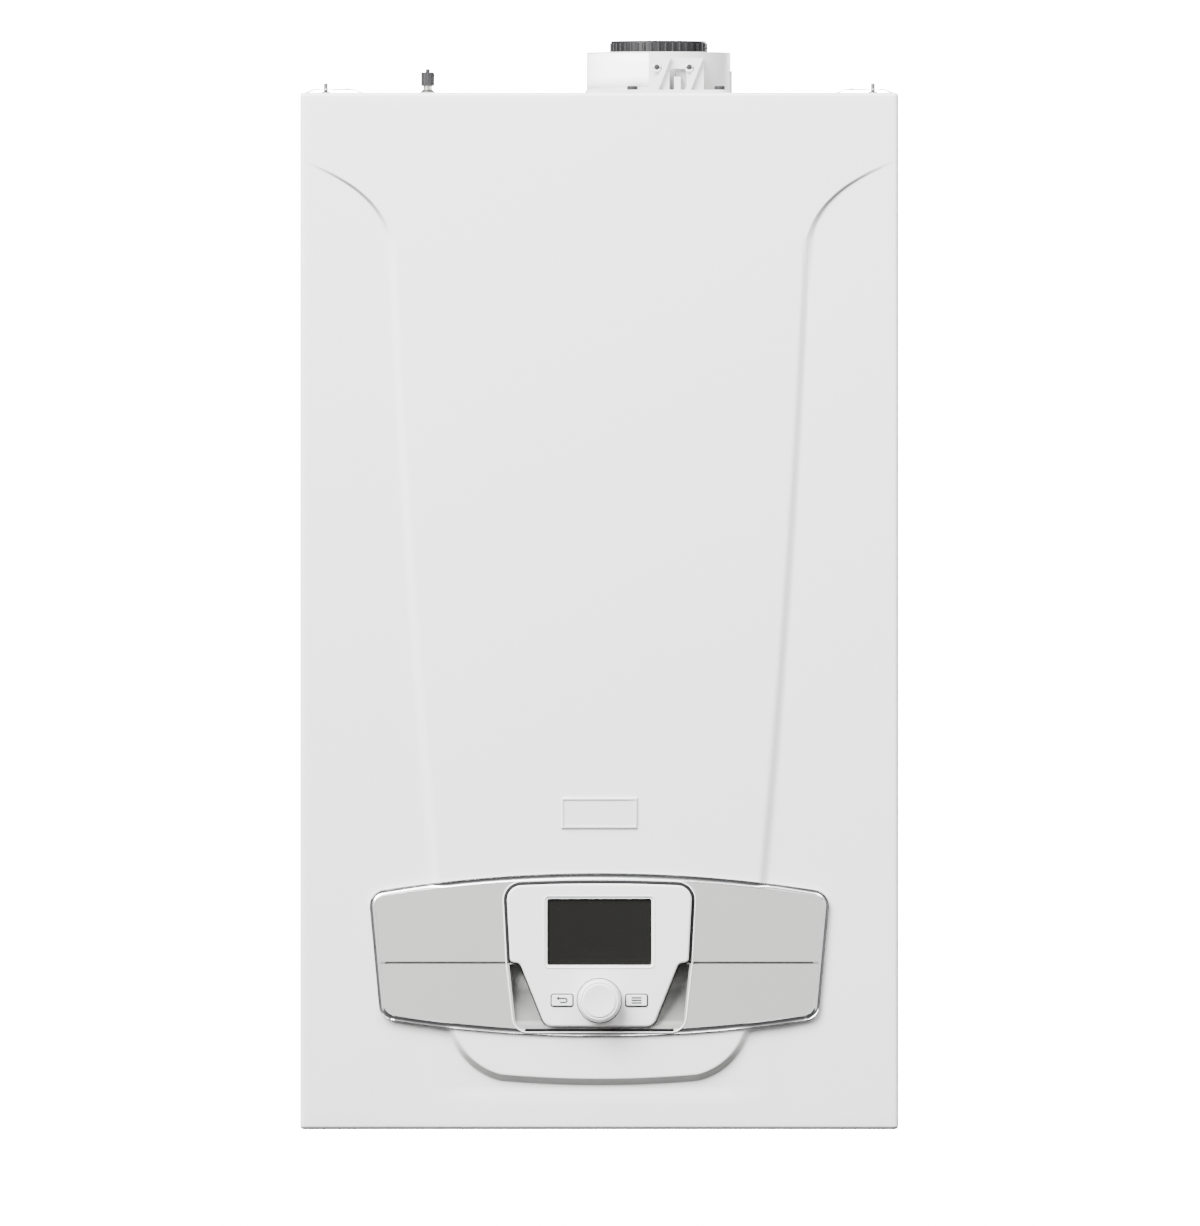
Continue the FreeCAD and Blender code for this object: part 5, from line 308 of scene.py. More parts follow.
def arc_through(points, count):
    """Points on the circle through three points, evenly spaced by angle from the first to the last."""
    (ax, az), (bx, bz), (cx, cz) = points
    d = 2 * (ax * (bz - cz) + bx * (cz - az) + cx * (az - bz))
    sa, sb, sc = ax ** 2 + az ** 2, bx ** 2 + bz ** 2, cx ** 2 + cz ** 2
    centre = np.array([sa * (bz - cz) + sb * (cz - az) + sc * (az - bz),
                       sa * (cx - bx) + sb * (ax - cx) + sc * (bx - ax)]) / d
    away = np.asarray(points) - centre
    turns = np.unwrap(np.arctan2(away[:, 1], away[:, 0]))
    angle = np.interp(np.linspace(0, 2, count), [0, 1, 2], turns)
    radius = np.hypot(*away[0])
    return centre + radius * np.stack([np.cos(angle), np.sin(angle)], axis=1)


def shoulder_curve():
    """The right shoulder as a cubic Bezier curve, from the panel's side in to the top of the side line."""
    t = np.linspace(0, 1, 60)[:, None]
    return ((1 - t) ** 3 * SHOULDER[0] + 3 * t * (1 - t) ** 2 * SHOULDER[1]
            + 3 * t ** 2 * (1 - t) * SHOULDER[2] + t ** 3 * SHOULDER[3])


def shield_outline():
    """The step's centre line from the right edge round the foot to the left edge, closed above the panel:
    the shoulder curve, three arcs, and their mirror image."""
    right = np.concatenate([[(SHOULDER[0, 0], OUTLINE_TOP)], shoulder_curve(), arc_through(SIDE_ARC, 60)[1:],
                            arc_through(FOOT_ARC, 30)[1:]])
    left = right[::-1] * (-1, 1)
    return np.concatenate([right, arc_through(BASE_ARC, 40)[1:-1], left])


def depth_inside(points, outline):
    """Distance of each point to the nearest stretch of a closed outline, positive inside it: the foot of the
    perpendicular is held to each stretch, and crossings of a ray to the right give the sign."""
    along = np.roll(outline, -1, axis=0) - outline
    nearest = np.full(len(points), np.inf)
    inside = np.zeros(len(points), dtype=bool)
    for start, way in zip(outline, along):
        away = points - start
        t = np.clip(away @ way / max(way @ way, TINY), 0, 1)
        nearest = np.minimum(nearest, np.hypot(*(away - t[:, None] * way).T))
        crosses = (start[1] > points[:, 1]) != (start[1] + way[1] > points[:, 1])
        reach = start[0] + (points[:, 1] - start[1]) / (way[1] if way[1] else TINY) * way[0]
        inside ^= crosses & (points[:, 0] < reach)
    return np.where(inside, nearest, -nearest)


def panel_depth(x, z):
    """Y of the pressed face: the fields fall linearly from the sides, the foot strip leans back a little more
    towards the shield, and an even ramp with rounded ends lifts the shield back to the face. The ramp is
    STEP_WIDTH wide and draws in to SHOULDER_STEP up the shoulders."""
    fall = RELIEF * np.clip((PANEL_HALF - np.abs(x)) / FIELD_RUN, 0, 1)
    up = np.clip((z - FOOT_DIP_LOW) / FOOT_DIP_RISE, 0, 1)
    inwards = np.clip((FOOT_DIP_HALF - np.abs(x)) / FOOT_DIP_EASE, 0, 1)
    fall = fall + FOOT_DIP * up * inwards * (z < FOOT_DIP_HIGH)
    inside = depth_inside(np.stack([x.ravel(), z.ravel()], axis=1), shield_outline()).reshape(x.shape)
    t = np.clip(inside / np.interp(z, SHOULDER_BAND, (STEP_WIDTH, SHOULDER_STEP)) + 0.5, 0, 1)
    near = np.minimum(t, 1 - t)
    ramp = np.where(near < STEP_ROUND, near ** 2 / (2 * STEP_ROUND), near - STEP_ROUND / 2) / (1 - STEP_ROUND)
    return PANEL_FACE + fall * (1 - np.where(t < 0.5, ramp, 1 - ramp))


def facia_loop():
    """Closed outline of the facia and its outward normals: two wide arches and two leaning sides, each drawn
    in by the corner radius and rolled out again along its normals, with a fan of normals at each corner."""
    def arch(half, crown, apex, way):
        """Radius, less the corner, and centre of a circle with this crown over this half chord."""
        radius = (half ** 2 + crown ** 2) / (2 * crown)
        return radius - FACIA_CORNER, apex - way * radius

    top_radius, top_centre = arch(FACIA_TOP_HALF, FACIA_TOP_CROWN, FACIA_TOP, 1)
    foot_radius, foot_centre = arch(FACIA_FOOT_HALF, FACIA_FOOT_CROWN, FACIA_FOOT, -1)
    high = np.array([FACIA_TOP_HALF, FACIA_TOP - FACIA_TOP_CROWN])
    low = np.array([FACIA_FOOT_HALF, FACIA_FOOT + FACIA_FOOT_CROWN])
    down = (low - high) / np.hypot(*(low - high))
    out = np.array([-down[1], down[0]])
    side = high - out * FACIA_CORNER + SIDE_SEARCH[:, None] * down
    top_end = side[np.argmin(np.abs(np.hypot(side[:, 0], side[:, 1] - top_centre) - top_radius))]
    foot_end = side[np.argmin(np.abs(np.hypot(side[:, 0], side[:, 1] - foot_centre) - foot_radius))]
    lean = np.arctan2(out[1], out[0])
    top_lean = np.arctan2(top_end[1] - top_centre, top_end[0])
    foot_lean = np.arctan2(foot_end[1] - foot_centre, foot_end[0])

    def fan(centre, first, last):
        """One point with normals that turn evenly from the first angle to the last."""
        return np.repeat(centre[None], CORNER_STEPS, axis=0), np.linspace(first, last, CORNER_STEPS)

    def bow(radius, height, first, last):
        """Points on a circle about the middle line, each with its own angle as normal."""
        angle = np.linspace(first, last, ARCH_STEPS)
        return np.stack([radius * np.cos(angle), height + radius * np.sin(angle)], axis=1), angle

    line = top_end + np.linspace(0, 1, SIDE_STEPS)[1:-1, None] * (foot_end - top_end)
    mirror = np.array([-1, 1])
    half_turn = np.pi
    runs = [bow(top_radius, top_centre, half_turn - top_lean, top_lean), fan(top_end, top_lean, lean),
            (line, np.full(len(line), lean)), fan(foot_end, lean, foot_lean),
            bow(foot_radius, foot_centre, foot_lean, -half_turn - foot_lean),
            fan(foot_end * mirror, -half_turn - foot_lean, -half_turn - lean),
            (line[::-1] * mirror, np.full(len(line), -half_turn - lean)),
            fan(top_end * mirror, -half_turn - lean, -half_turn - top_lean)]
    angle = np.concatenate([run[1] for run in runs])
    normals = np.stack([np.cos(angle), np.sin(angle)], axis=1)
    return np.concatenate([run[0] for run in runs]) + normals * FACIA_CORNER, normals


def tidy(piece, gap=1e-6):
    """Merges doubled points and turns every face outwards."""
    work = bmesh.new()
    work.from_mesh(piece.data)
    bmesh.ops.remove_doubles(work, verts=work.verts, dist=gap)
    bmesh.ops.recalc_face_normals(work, faces=work.faces)
    work.to_mesh(piece.data)
    work.free()


def new_piece(name, points, faces, material, body, slot, smooth=True):
    """A tidied mesh object from points in millimetres and faces, riding on a body."""
    mesh = bpy.data.meshes.new(name)
    mesh.from_pydata((np.asarray(points).reshape(-1, 3) * MM).tolist(), [], np.asarray(faces).tolist())
    mesh.polygons.foreach_set("use_smooth", np.full(len(mesh.polygons), smooth))
    mesh.materials.append(material)
    piece = bpy.data.objects.new(name, mesh)
    bpy.context.scene.collection.objects.link(piece)
    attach(piece, body)
    tidy(piece)
    return piece


def grid_faces(rows, columns, close_rows=False, close_columns=False):
    """Quads over a grid of points stored row by row, joined across the ends where asked."""
    r = np.arange(rows if close_rows else rows - 1)[:, None]
    c = np.arange(columns if close_columns else columns - 1)[None]
    r2 = (r + 1) % rows
    c2 = (c + 1) % columns
    quads = [r * columns + c, r * columns + c2, r2 * columns + c2, r2 * columns + c]
    return np.stack(np.broadcast_arrays(*quads), axis=-1).reshape(-1, 4)


def front_panel_sheet():
    """The pressed sheet as one grid of columns in x, each with a stretch below and one above the facia's
    opening; beyond the opening both meet on one level. Up the shoulders the rows follow the shoulder curve.
    A rim of a quarter round and a straight return is swept round the grid's border, fanned at the corners."""
    flat = PANEL_HALF - EDGE_ROUND
    outline, normals = facia_loop()
    edge = outline + normals * FACIA_GAP
    tip = np.argmax(edge[:, 0])
    apex = np.argmax(edge[:, 1])
    nadir = np.argmin(edge[:, 1])
    tip_x, tip_z = edge[tip]
    columns_out = [np.arange(0, MIDDLE_HALF, MIDDLE_STEP), np.arange(MIDDLE_HALF, WING_HALF, WING_STEP),
                   np.arange(WING_HALF, tip_x - TIP_INSIDE, TIP_STEP), tip_x - TIP_COLUMNS,
                   np.linspace(tip_x + TIP_OUTSIDE, flat, SIDE_COLUMNS)]
    half = np.unique(np.concatenate(columns_out))
    x = np.concatenate([-half[:0:-1], half])
    upper = edge[apex:tip + 1]
    lower = edge[tip:nadir + 1][::-1]
    high = np.interp(np.abs(x), upper[:, 0], upper[:, 1])
    low = np.interp(np.abs(x), lower[:, 0], lower[:, 1])
    beyond = np.abs(x) >= tip_x
    high[beyond] = tip_z
    low[beyond] = tip_z
    low_z = EDGE_ROUND + (low - EDGE_ROUND) * ROWS_BELOW[:, None]
    top = PANEL_HEIGHT - EDGE_ROUND
    curve = shoulder_curve()[::-1]
    level = np.interp(np.maximum(np.abs(x), SHOULDER_TURN), curve[:, 0], curve[:, 1])
    across = np.linspace(-SHOULDER_NEAR, SHOULDER_NEAR, SHOULDER_ROWS)[:, None]
    rest = np.linspace(0, 1, TOP_ROWS)[:, None]
    under = high + (level - SHOULDER_CLEAR - high) * ROWS_ABOVE[:, None]
    over = level + SHOULDER_CLEAR + (top - level - SHOULDER_CLEAR) * rest
    high_z = np.concatenate([under, level + across, over])
    z = np.concatenate([low_z, high_z])
    xx = np.broadcast_to(x, z.shape)
    y = panel_depth(xx, z)
    sheet = np.stack([xx, y, z], axis=-1)
    rows, columns = z.shape
    faces = grid_faces(rows, columns)
    gap_row = len(ROWS_BELOW) - 1
    faces = faces[faces[:, 0] // columns != gap_row]

    bottom = sheet[0]
    upside = sheet[-1][::-1]
    right = sheet[:, -1]
    left = right[::-1] * (-1, 1, 1)

    def side(points, angle):
        """A straight side, whose points all face one way."""
        return points, np.broadcast_to([np.cos(angle), np.sin(angle)], (len(points), 2))

    def corner(point, first):
        """One corner point, which faces a quarter turn of ways."""
        angle = first + QUARTER_TURN
        return np.repeat(point[None], len(angle), axis=0), np.stack([np.cos(angle), np.sin(angle)], axis=1)

    runs = []
    for points, angle in ((bottom, -np.pi / 2), (right, 0), (upside, np.pi / 2), (left, np.pi)):
        runs += [side(points, angle), corner(points[-1], angle)]
    border = np.concatenate([run[0] for run in runs])
    outward = np.concatenate([run[1] for run in runs])
    reach = np.concatenate([EDGE_ROUND * np.sin(QUARTER_TURN), [EDGE_ROUND] * 2])
    drop = np.concatenate([EDGE_ROUND * (1 - np.cos(QUARTER_TURN)), [0, 0]])
    rim = np.empty((len(reach), len(border), 3))
    rim[..., 0] = border[:, 0] + reach[:, None] * outward[:, 0]
    rim[..., 2] = border[:, 2] + reach[:, None] * outward[:, 1]
    rim[..., 1] = border[:, 1] + drop[:, None]
    rim[-2, :, 1] = (PANEL_FACE + PANEL_BACK) / 2
    rim[-1, :, 1] = PANEL_BACK
    rim_faces = grid_faces(len(reach), len(border), close_columns=True) + rows * columns
    points = np.concatenate([sheet.reshape(-1, 3), rim.reshape(-1, 3)])
    return points, np.concatenate([faces, rim_faces])


def axis_mask(name, source, axis, curve):
    """Mask that runs from 0 at Start to 1 at End of one axis of the piece's own coordinates or normals."""
    group, given, out = new_group(name, [("Start", 0.0), ("End", 1.0)], ["Mask"])
    place = group.nodes.new("ShaderNodeTexCoord")
    parts = group.nodes.new("ShaderNodeSeparateXYZ")
    ramp = group.nodes.new("ShaderNodeMapRange")
    ramp.interpolation_type = curve
    group.links.new(place.outputs[source], parts.inputs["Vector"])
    group.links.new(parts.outputs[axis], ramp.inputs["Value"])
    group.links.new(given.outputs["Start"], ramp.inputs["From Min"])
    group.links.new(given.outputs["End"], ramp.inputs["From Max"])
    group.links.new(ramp.outputs["Result"], out.inputs["Mask"])
    return group


def run_to(material, group, start, end, colour):
    """Lets a finish run to a second colour by a mask group with a start and an end."""
    tree = material.node_tree
    shader = tree.nodes["Principled BSDF"]
    skin = shader.inputs["Base Color"].links[0].from_socket
    mask = tree.nodes.new("ShaderNodeGroup")
    mask.node_tree = group
    mask.inputs["Start"].default_value = start
    mask.inputs["End"].default_value = end
    second = tree.nodes.new("ShaderNodeMix")
    second.data_type = "RGBA"
    second.inputs["B"].default_value = (*colour, 1)
    tree.links.new(mask.outputs["Mask"], second.inputs["Factor"])
    tree.links.new(skin, second.inputs["A"])
    tree.links.new(second.outputs["Result"], shader.inputs["Base Color"])


# Painted shade: the panel's enamel runs to a darker grey on faces that turn down.
panel_enamel_with_shade = enamel_coat("panel_enamel_with_shade")
underside_shade_mask = axis_mask("underside_shade_mask", "Normal", "Z", "LINEAR")
run_to(panel_enamel_with_shade, underside_shade_mask, UNDERSIDE_START, UNDERSIDE_END, UNDERSIDE_PAINTED_SHADE)
panel = new_piece("front_panel_sheet", *front_panel_sheet(), panel_enamel_with_shade, "front_panel", "white_panel")
wall = panel.modifiers.new("sheet", "SOLIDIFY")
wall.thickness = SHEET * MM
wall.offset = -1
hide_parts("front_panel")

# Panel tabs: two raised tongues on the panel's upper return, formed from the same sheet, that drop behind
# the roof's studs. Each is notched at the back round its stud.
TAB_INNER = 178.0
TAB_OUTER = 222.0
TAB_LIFT = 0.45
TAB_RISE = 3.0
TAB_SLOPE = 8.0
TAB_FRONT = -313.0
TAB_BACK = -281.0
STUD_X = 206.2
STUD_Y = -293.0
NOTCH_HALF = 5.0
NOTCH_CUT = 0.01
TAB_SHEET = 0.4


def panel_tab(side):
    """A hat section carried back along Y: rise runs up an S-curve over the slope, stays level, and runs down
    again; the columns over the notch stop short of the stud."""
    x = np.unique(np.concatenate([np.linspace(TAB_INNER, TAB_INNER + TAB_SLOPE, 8),
                                  np.linspace(TAB_OUTER - TAB_SLOPE, TAB_OUTER, 8),
                                  [STUD_X - NOTCH_HALF, STUD_X - NOTCH_HALF + NOTCH_CUT,
                                   STUD_X + NOTCH_HALF - NOTCH_CUT, STUD_X + NOTCH_HALF]]))
    t = np.clip(np.minimum(x - TAB_INNER, TAB_OUTER - x) / TAB_SLOPE, 0, 1)
    z = PANEL_HEIGHT + TAB_LIFT + (TAB_RISE - TAB_LIFT) * t * t * (3 - 2 * t)
    inside = np.abs(x - STUD_X) < NOTCH_HALF - NOTCH_CUT / 2
    end = np.where(inside, STUD_Y - NOTCH_HALF, TAB_BACK)
    y = TAB_FRONT + (end - TAB_FRONT) * np.linspace(0, 1, 6)[:, None]
    points = np.stack([np.broadcast_to(side * x, y.shape), y, np.broadcast_to(z, y.shape)], axis=-1)
    return points.reshape(-1, 3), grid_faces(6, len(x))


for side, name in ((-1, "left_panel_tab"), (1, "right_panel_tab")):
    tab = new_piece(name, *panel_tab(side), enamel, "front_panel", "white_panel")
    leaf = tab.modifiers.new("sheet", "SOLIDIFY")
    leaf.thickness = TAB_SHEET * MM
    leaf.offset = 0

# Panel screws: two countersunk screws up through the panel's lower return into the casing.
# They are zinc-plated steel, with their flat heads flush with the sheet.
SCREW_X = 150.0
SCREW_Y = -318.0
SCREW_PROFILE = [(0, -0.05), (3.6, -0.05), (3.7, 0.15), (1.9, 2.0), (1.9, 11.6), (1.4, 12.0), (0, 12.0)]


def turned(profile, first, second, count=96, upright=False):
    """Turns a profile of (radius, distance along) pairs about a line along Y, or an upright one, through the
    point (first, second) of the plane across it."""
    radius, along = np.asarray(profile, dtype=float).T[..., None]
    turn = np.linspace(0, 2 * np.pi, count, endpoint=False)
    across = first + radius * np.cos(turn)
    beside = second + radius * np.sin(turn)
    axes = (across, beside, along) if upright else (across, along, beside)
    points = np.stack(np.broadcast_arrays(*axes), axis=-1)
    return points.reshape(-1, 3), grid_faces(len(radius), count, close_columns=True)


left_turning = turned(SCREW_PROFILE, -SCREW_X, SCREW_Y, 48, upright=True)
left_screw = new_piece("left_panel_screw", *left_turning, plated, "front_panel", "zinc")
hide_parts("panel_screws")
right_turning = turned(SCREW_PROFILE, SCREW_X, SCREW_Y, 48, upright=True)
new_piece("right_panel_screw", *right_turning, plated, "front_panel", "zinc")

# Tab rivets: a small dark rivet holds each tab's inner end to the return.
# It is blackened steel with a low domed head.
RIVET_X = 190.0
RIVET_Y = -302.0
RIVET_TOP = PANEL_HEIGHT + TAB_RISE + 0.2
RIVET_PROFILE = [(0, RIVET_TOP + 0.7), (1.2, RIVET_TOP + 0.6), (2.0, RIVET_TOP + 0.2), (2.2, RIVET_TOP - 0.3),
                 (0, RIVET_TOP - 0.3)]
RIVET_STEEL_COLOUR = (0.09, 0.09, 0.092)
RIVET_STEEL_SHADE = (0.12, 0.12, 0.122)
rivet_steel = finish("dark_rivet", RIVET_STEEL_COLOUR, RIVET_STEEL_SHADE, 0.5, fine=1500.0, bump=0.05)
for name, x in (("left_tab_rivet", -RIVET_X), ("right_tab_rivet", RIVET_X)):
    rivet = turned(RIVET_PROFILE, x, RIVET_Y, 24, upright=True)
    new_piece(name, *rivet, rivet_steel, "front_panel", "zinc")

# Badge plate: a small bare plate in a shallow frame, stuck to the shield above the facia.
# It is moulded in white plastic with a satin face.
BADGE_PALE = (0.74, 0.74, 0.735)
BADGE_SHADE = (0.68, 0.68, 0.675)
badge = finish("badge_satin", BADGE_PALE, BADGE_SHADE, 0.4, fine=1500.0, coarse=60.0, bump=0.05)
dress(badge, "badge_plate")

# Facia: a moulded band in satin silver-grey lacquer with a groove along each wing. Painted shade darkens the
# lacquer with depth behind its face, into the groove, the pocket and the slopes of its two finger scoops, and
# painted light pales it again at their deep ends. A bright hollow-faced rim is bent round it and pressed on,
# against a flat border across which the grooves run out as flat dark bars of painted shadow.
SCOOP_START = -347.55
SCOOP_END = -347.0
RECESS_PAINTED_SHADE = (0.20, 0.20, 0.193)
SLOPE_START = -345.0
SLOPE_END = -343.5
SLOPE_PAINTED_SHADE = (0.11, 0.11, 0.106)
HOLLOW_START = -335.5
HOLLOW_END = -332.8
HOLLOW_PAINTED_LIGHT = (0.46, 0.46, 0.444)
BAND_GREY = (0.378, 0.380, 0.370)
BAND_SHADE = (0.358, 0.360, 0.350)
band_lacquer = finish("facia_lacquer", BAND_GREY, BAND_SHADE, 0.38, fine=2400.0, coarse=25.0, bump=0.05,
                      metallic=0.15)
# Painted shade and light: the lacquer darkens with depth into the band's recesses and pales again at the
# deepest.
depth_light_shade_mask = axis_mask("depth_light_shade_mask", "Object", "Y", "SMOOTHSTEP")
for start, end, colour in ((SCOOP_START, SCOOP_END, RECESS_PAINTED_SHADE), (SLOPE_START, SLOPE_END, SLOPE_PAINTED_SHADE),
                           (HOLLOW_START, HOLLOW_END, HOLLOW_PAINTED_LIGHT)):
    run_to(band_lacquer, depth_light_shade_mask, start * MM, end * MM, colour)
dress(band_lacquer, "facia_band")

RIM_PALE = (0.78, 0.785, 0.79)
RIM_SHADE = (0.73, 0.735, 0.74)
RIM_OUTER = -347.3
RIM_FOLLOW = 0.5
RIM_FOOT_FOLLOW = 0.2
RIM_REACH = 0.6
RIM_INSET = 3.3
RIM_HOLLOW = 0.75
RIM_INNER = -347.8
RIM_BACK = -335.2
RIM_BEVEL = 0.1
RIM_EASE = 4.0
RIM_FOOT_TURN = (-0.7, -0.2)
BORDER_INSET = 6.4
BORDER_FACE = -347.64


def swept_ring(loop, normals, profile, close_loop=True):
    """Carries a closed profile of (grow, y) pairs along a loop: each row is loop + normal * grow at its y."""
    grow, y = np.asarray(profile, dtype=float).T
    flat = loop + normals * grow[:, None, None]
    points = np.stack([flat[..., 0], np.broadcast_to(y[:, None], flat.shape[:2]), flat[..., 1]], axis=-1)
    return points.reshape(-1, 3), grid_faces(len(grow), len(loop), close_rows=True, close_columns=close_loop)


def hollow_rim():
    """A strip bent round the facia's outline. Across its width the face runs from an outer lip, which leans
    back part of the way with the pressed panel's fields and less along the foot, to a level inner lip, and
    sinks under that line by a parabola; both edges run straight back."""
    loop, normals = facia_loop()
    edge = loop + normals * FACIA_GAP
    ease = np.linspace(-RIM_EASE, RIM_EASE, 9)
    sides = edge[:, :1] + ease
    fall = panel_depth(sides, np.repeat(edge[:, 1:], len(ease), axis=1)).mean(axis=1) - PANEL_FACE
    outer = RIM_OUTER + fall * np.interp(normals[:, 1], RIM_FOOT_TURN, (RIM_FOOT_FOLLOW, RIM_FOLLOW))
    t = np.concatenate([[0, 0.02], np.linspace(0.1, 0.9, 9), [0.98, 1]])[:, None]
    face = outer + (RIM_INNER - outer) * t + RIM_HOLLOW * 4 * t * (1 - t)
    back = np.full((1, len(loop)), RIM_BACK)
    y = np.concatenate([back, face[:1] + RIM_BEVEL, face, face[-1:] + RIM_BEVEL, back])
    grow = RIM_REACH - (RIM_REACH + RIM_INSET) * np.concatenate([[0, 0], t[:, 0], [1, 1]])
    flat = loop + normals * grow[:, None, None]
    points = np.stack([flat[..., 0], y, flat[..., 1]], axis=-1)
    return points.reshape(-1, 3), grid_faces(len(grow), len(loop), close_rows=True, close_columns=True)


bright = finish("bright_rim", RIM_PALE, RIM_SHADE, 0.19, spread=0.03, fine=3000.0, coarse=40.0, bump=0.01,
                metallic=0.96)
rim = new_piece("facia_rim", *hollow_rim(), bright, "control_box", "bright_trim")
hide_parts("facia_trim")
BORDER_PROFILE = [(-RIM_INSET + 0.1, BORDER_FACE + 0.6), (-RIM_INSET + 0.1, BORDER_FACE),
                  (-BORDER_INSET, BORDER_FACE), (-BORDER_INSET, BORDER_FACE + 0.3)]
border = swept_ring(*facia_loop(), BORDER_PROFILE)
new_piece("band_border", *border, band_lacquer, "control_box", "facia_grey", smooth=False)

# Groove ends: where each wing's groove runs out across the border, a flat dark bar lies on it as painted
# shadow.
GROOVE_LEVEL = 125.4
GROOVE_HALF = 0.9
GROOVE_IN = 161.0
GROOVE_OUT = 164.7
GROOVE_PROUD = 0.03
GROOVE_SINK = 0.2
GROOVE_SHADOW_PALE = (0.20, 0.20, 0.195)
GROOVE_SHADOW_DARK = (0.18, 0.18, 0.175)
groove_shadow_paint = finish("groove_shadow_paint", GROOVE_SHADOW_PALE, GROOVE_SHADOW_DARK, 0.45, fine=2400.0, coarse=25.0,
                        bump=0.05)


def groove_shadow_bar(side):
    """A flat bar across the border: the eight corners of its spans in x, y and z."""
    spans = np.meshgrid((side * GROOVE_IN, side * GROOVE_OUT),
                        (BORDER_FACE - GROOVE_PROUD, BORDER_FACE + GROOVE_SINK),
                        (GROOVE_LEVEL - GROOVE_HALF, GROOVE_LEVEL + GROOVE_HALF), indexing="ij")
    faces = [(0, 1, 3, 2), (4, 6, 7, 5), (0, 4, 5, 1), (2, 3, 7, 6), (0, 2, 6, 4), (1, 5, 7, 3)]
    return np.stack(spans, axis=-1).reshape(-1, 3), faces


for name, side in (("left_groove_end", -1), ("right_groove_end", 1)):
    new_piece(name, *groove_shadow_bar(side), groove_shadow_paint, "control_box", "facia_grey", smooth=False)

# Pocket bead: the raised bright edge of the pocket in the band that takes the control unit.
# It is moulded with the band; its pale silver is painted as a flat near-white, a painted highlight along it.
UNIT_TOP = 185.0
UNIT_TOP_CROWN = 1.9
UNIT_TOP_HALF = 70.0
UNIT_SIDE_HALF = 67.0
UNIT_CORNER = 11.0
POCKET_FOOT = 76.0
POCKET_FOOT_HALF = 61.5
POCKET_CORNER = 9.0
UNIT_GAP = 1.0
BEAD_EDGE = 2.3
BEAD_WIDTH = 1.2
BEAD_PROUD = 0.5
BEAD_SINK = 0.2
ROUND_STEPS = 14
TOP_POINTS = 15
TOP_CLEAR = 3.0
BAND_FACE = -347.6


def rounded_loop(corners, radii):
    """Closed outline through clockwise corners and its outward normals: each corner is cut off at
    radius * tan(half its turn) and bridged by an arc; corners of radius 0 stay points."""
    corners = np.asarray(corners, dtype=float)
    inward = corners - np.roll(corners, 1, axis=0)
    inward /= np.hypot(*inward.T)[:, None]
    outward = np.roll(inward, -1, axis=0)
    cross = inward[:, 0] * outward[:, 1] - inward[:, 1] * outward[:, 0]
    turn = np.arctan2(cross, (inward * outward).sum(axis=1))
    pieces = []
    for corner, u, angle, radius in zip(corners, inward, turn, radii):
        steps = np.linspace(0, angle, ROUND_STEPS if radius else 2)[:, None]
        side = np.array([-u[1], u[0]]) * np.sign(angle)
        start = corner - u * radius * np.tan(abs(angle) / 2)
        arc = start + side * radius * (1 - np.cos(steps)) + u * radius * np.sin(np.abs(steps))
        heading = u * np.cos(steps) + np.array([-u[1], u[0]]) * np.sin(steps)
        pieces.append(np.concatenate([arc, np.stack([-heading[:, 1], heading[:, 0]], axis=1)], axis=1))
    loop = np.concatenate(pieces)
    return loop[:, :2], loop[:, 2:]


def unit_arch():
    """Points along the shared arched top of the unit and its pocket, clear of the rounded corners, with the
    two sharp corners at the ends."""
    x = np.linspace(-1, 1, TOP_POINTS) * (UNIT_TOP_HALF - UNIT_CORNER - TOP_CLEAR)
    z = UNIT_TOP - UNIT_TOP_CROWN * (x / UNIT_TOP_HALF) ** 2
    ends = UNIT_TOP - UNIT_TOP_CROWN
    return [(-UNIT_TOP_HALF, ends), *zip(x, z), (UNIT_TOP_HALF, ends)]


def pocket_loop():
    """Outline of the pocket: arched top, sides down to the groove, leaning in to the foot."""
    right = [(UNIT_SIDE_HALF, GROOVE_LEVEL), (POCKET_FOOT_HALF, POCKET_FOOT)]
    left = [(-x, z) for x, z in right[::-1]]
    radii = [UNIT_CORNER] + [0] * TOP_POINTS + [UNIT_CORNER, 0, POCKET_CORNER, POCKET_CORNER, 0]
    return rounded_loop(unit_arch() + right + left, radii)


def bead_profile():
    """Half an ellipse on the band's face, just outside the dark lip."""
    a = np.linspace(0, np.pi, 9)
    grow = BEAD_EDGE + BEAD_WIDTH / 2 * (1 - np.cos(a))
    return np.stack([grow, BAND_FACE + BEAD_SINK - (BEAD_PROUD + BEAD_SINK) * np.sin(a)], axis=1)


# Painted highlight: the bead's silver is a plain near-white, not a metal that reflects.
SILVER_HIGHLIGHT_COLOUR = (0.86, 0.86, 0.855)
SILVER_HIGHLIGHT_SHADE = (0.82, 0.82, 0.815)
silver = finish("pocket_bead_highlight", SILVER_HIGHLIGHT_COLOUR, SILVER_HIGHLIGHT_SHADE, 0.25, fine=2600.0, bump=0.02)
new_piece("pocket_bead", *swept_ring(*pocket_loop(), bead_profile()), silver, "control_box", "bright_trim")

# Pocket gap shadow: a black strip in two lengths, in the gap round the unit's head and below its foot.
# It is painted shadow of that gap, set along the pocket's edge.
GAP_SHADOW_COLOUR = (0.010, 0.010, 0.011)
GAP_SHADOW_SHADE = (0.016, 0.016, 0.017)
gap_shadow_black = finish("gap_shadow_black", GAP_SHADOW_COLOUR, GAP_SHADOW_SHADE, 0.7, fine=1800.0, bump=0.1,
                    Specular_IOR_Level=0.15)
GAP_SHADOW_PROFILE = [(0.12, BAND_FACE - 0.3), (0.9, BAND_FACE - 0.25), (BEAD_EDGE + 0.1, BAND_FACE - 0.2),
               (BEAD_EDGE, BAND_FACE + 0.1), (UNIT_GAP - 0.1, BAND_FACE + 1.2), (0.12, BAND_FACE + 1.2)]
HEAD_SHADOW_LOW = GROOVE_LEVEL - 0.5
FOOT_SHADOW_HIGH = POCKET_FOOT + 0.4
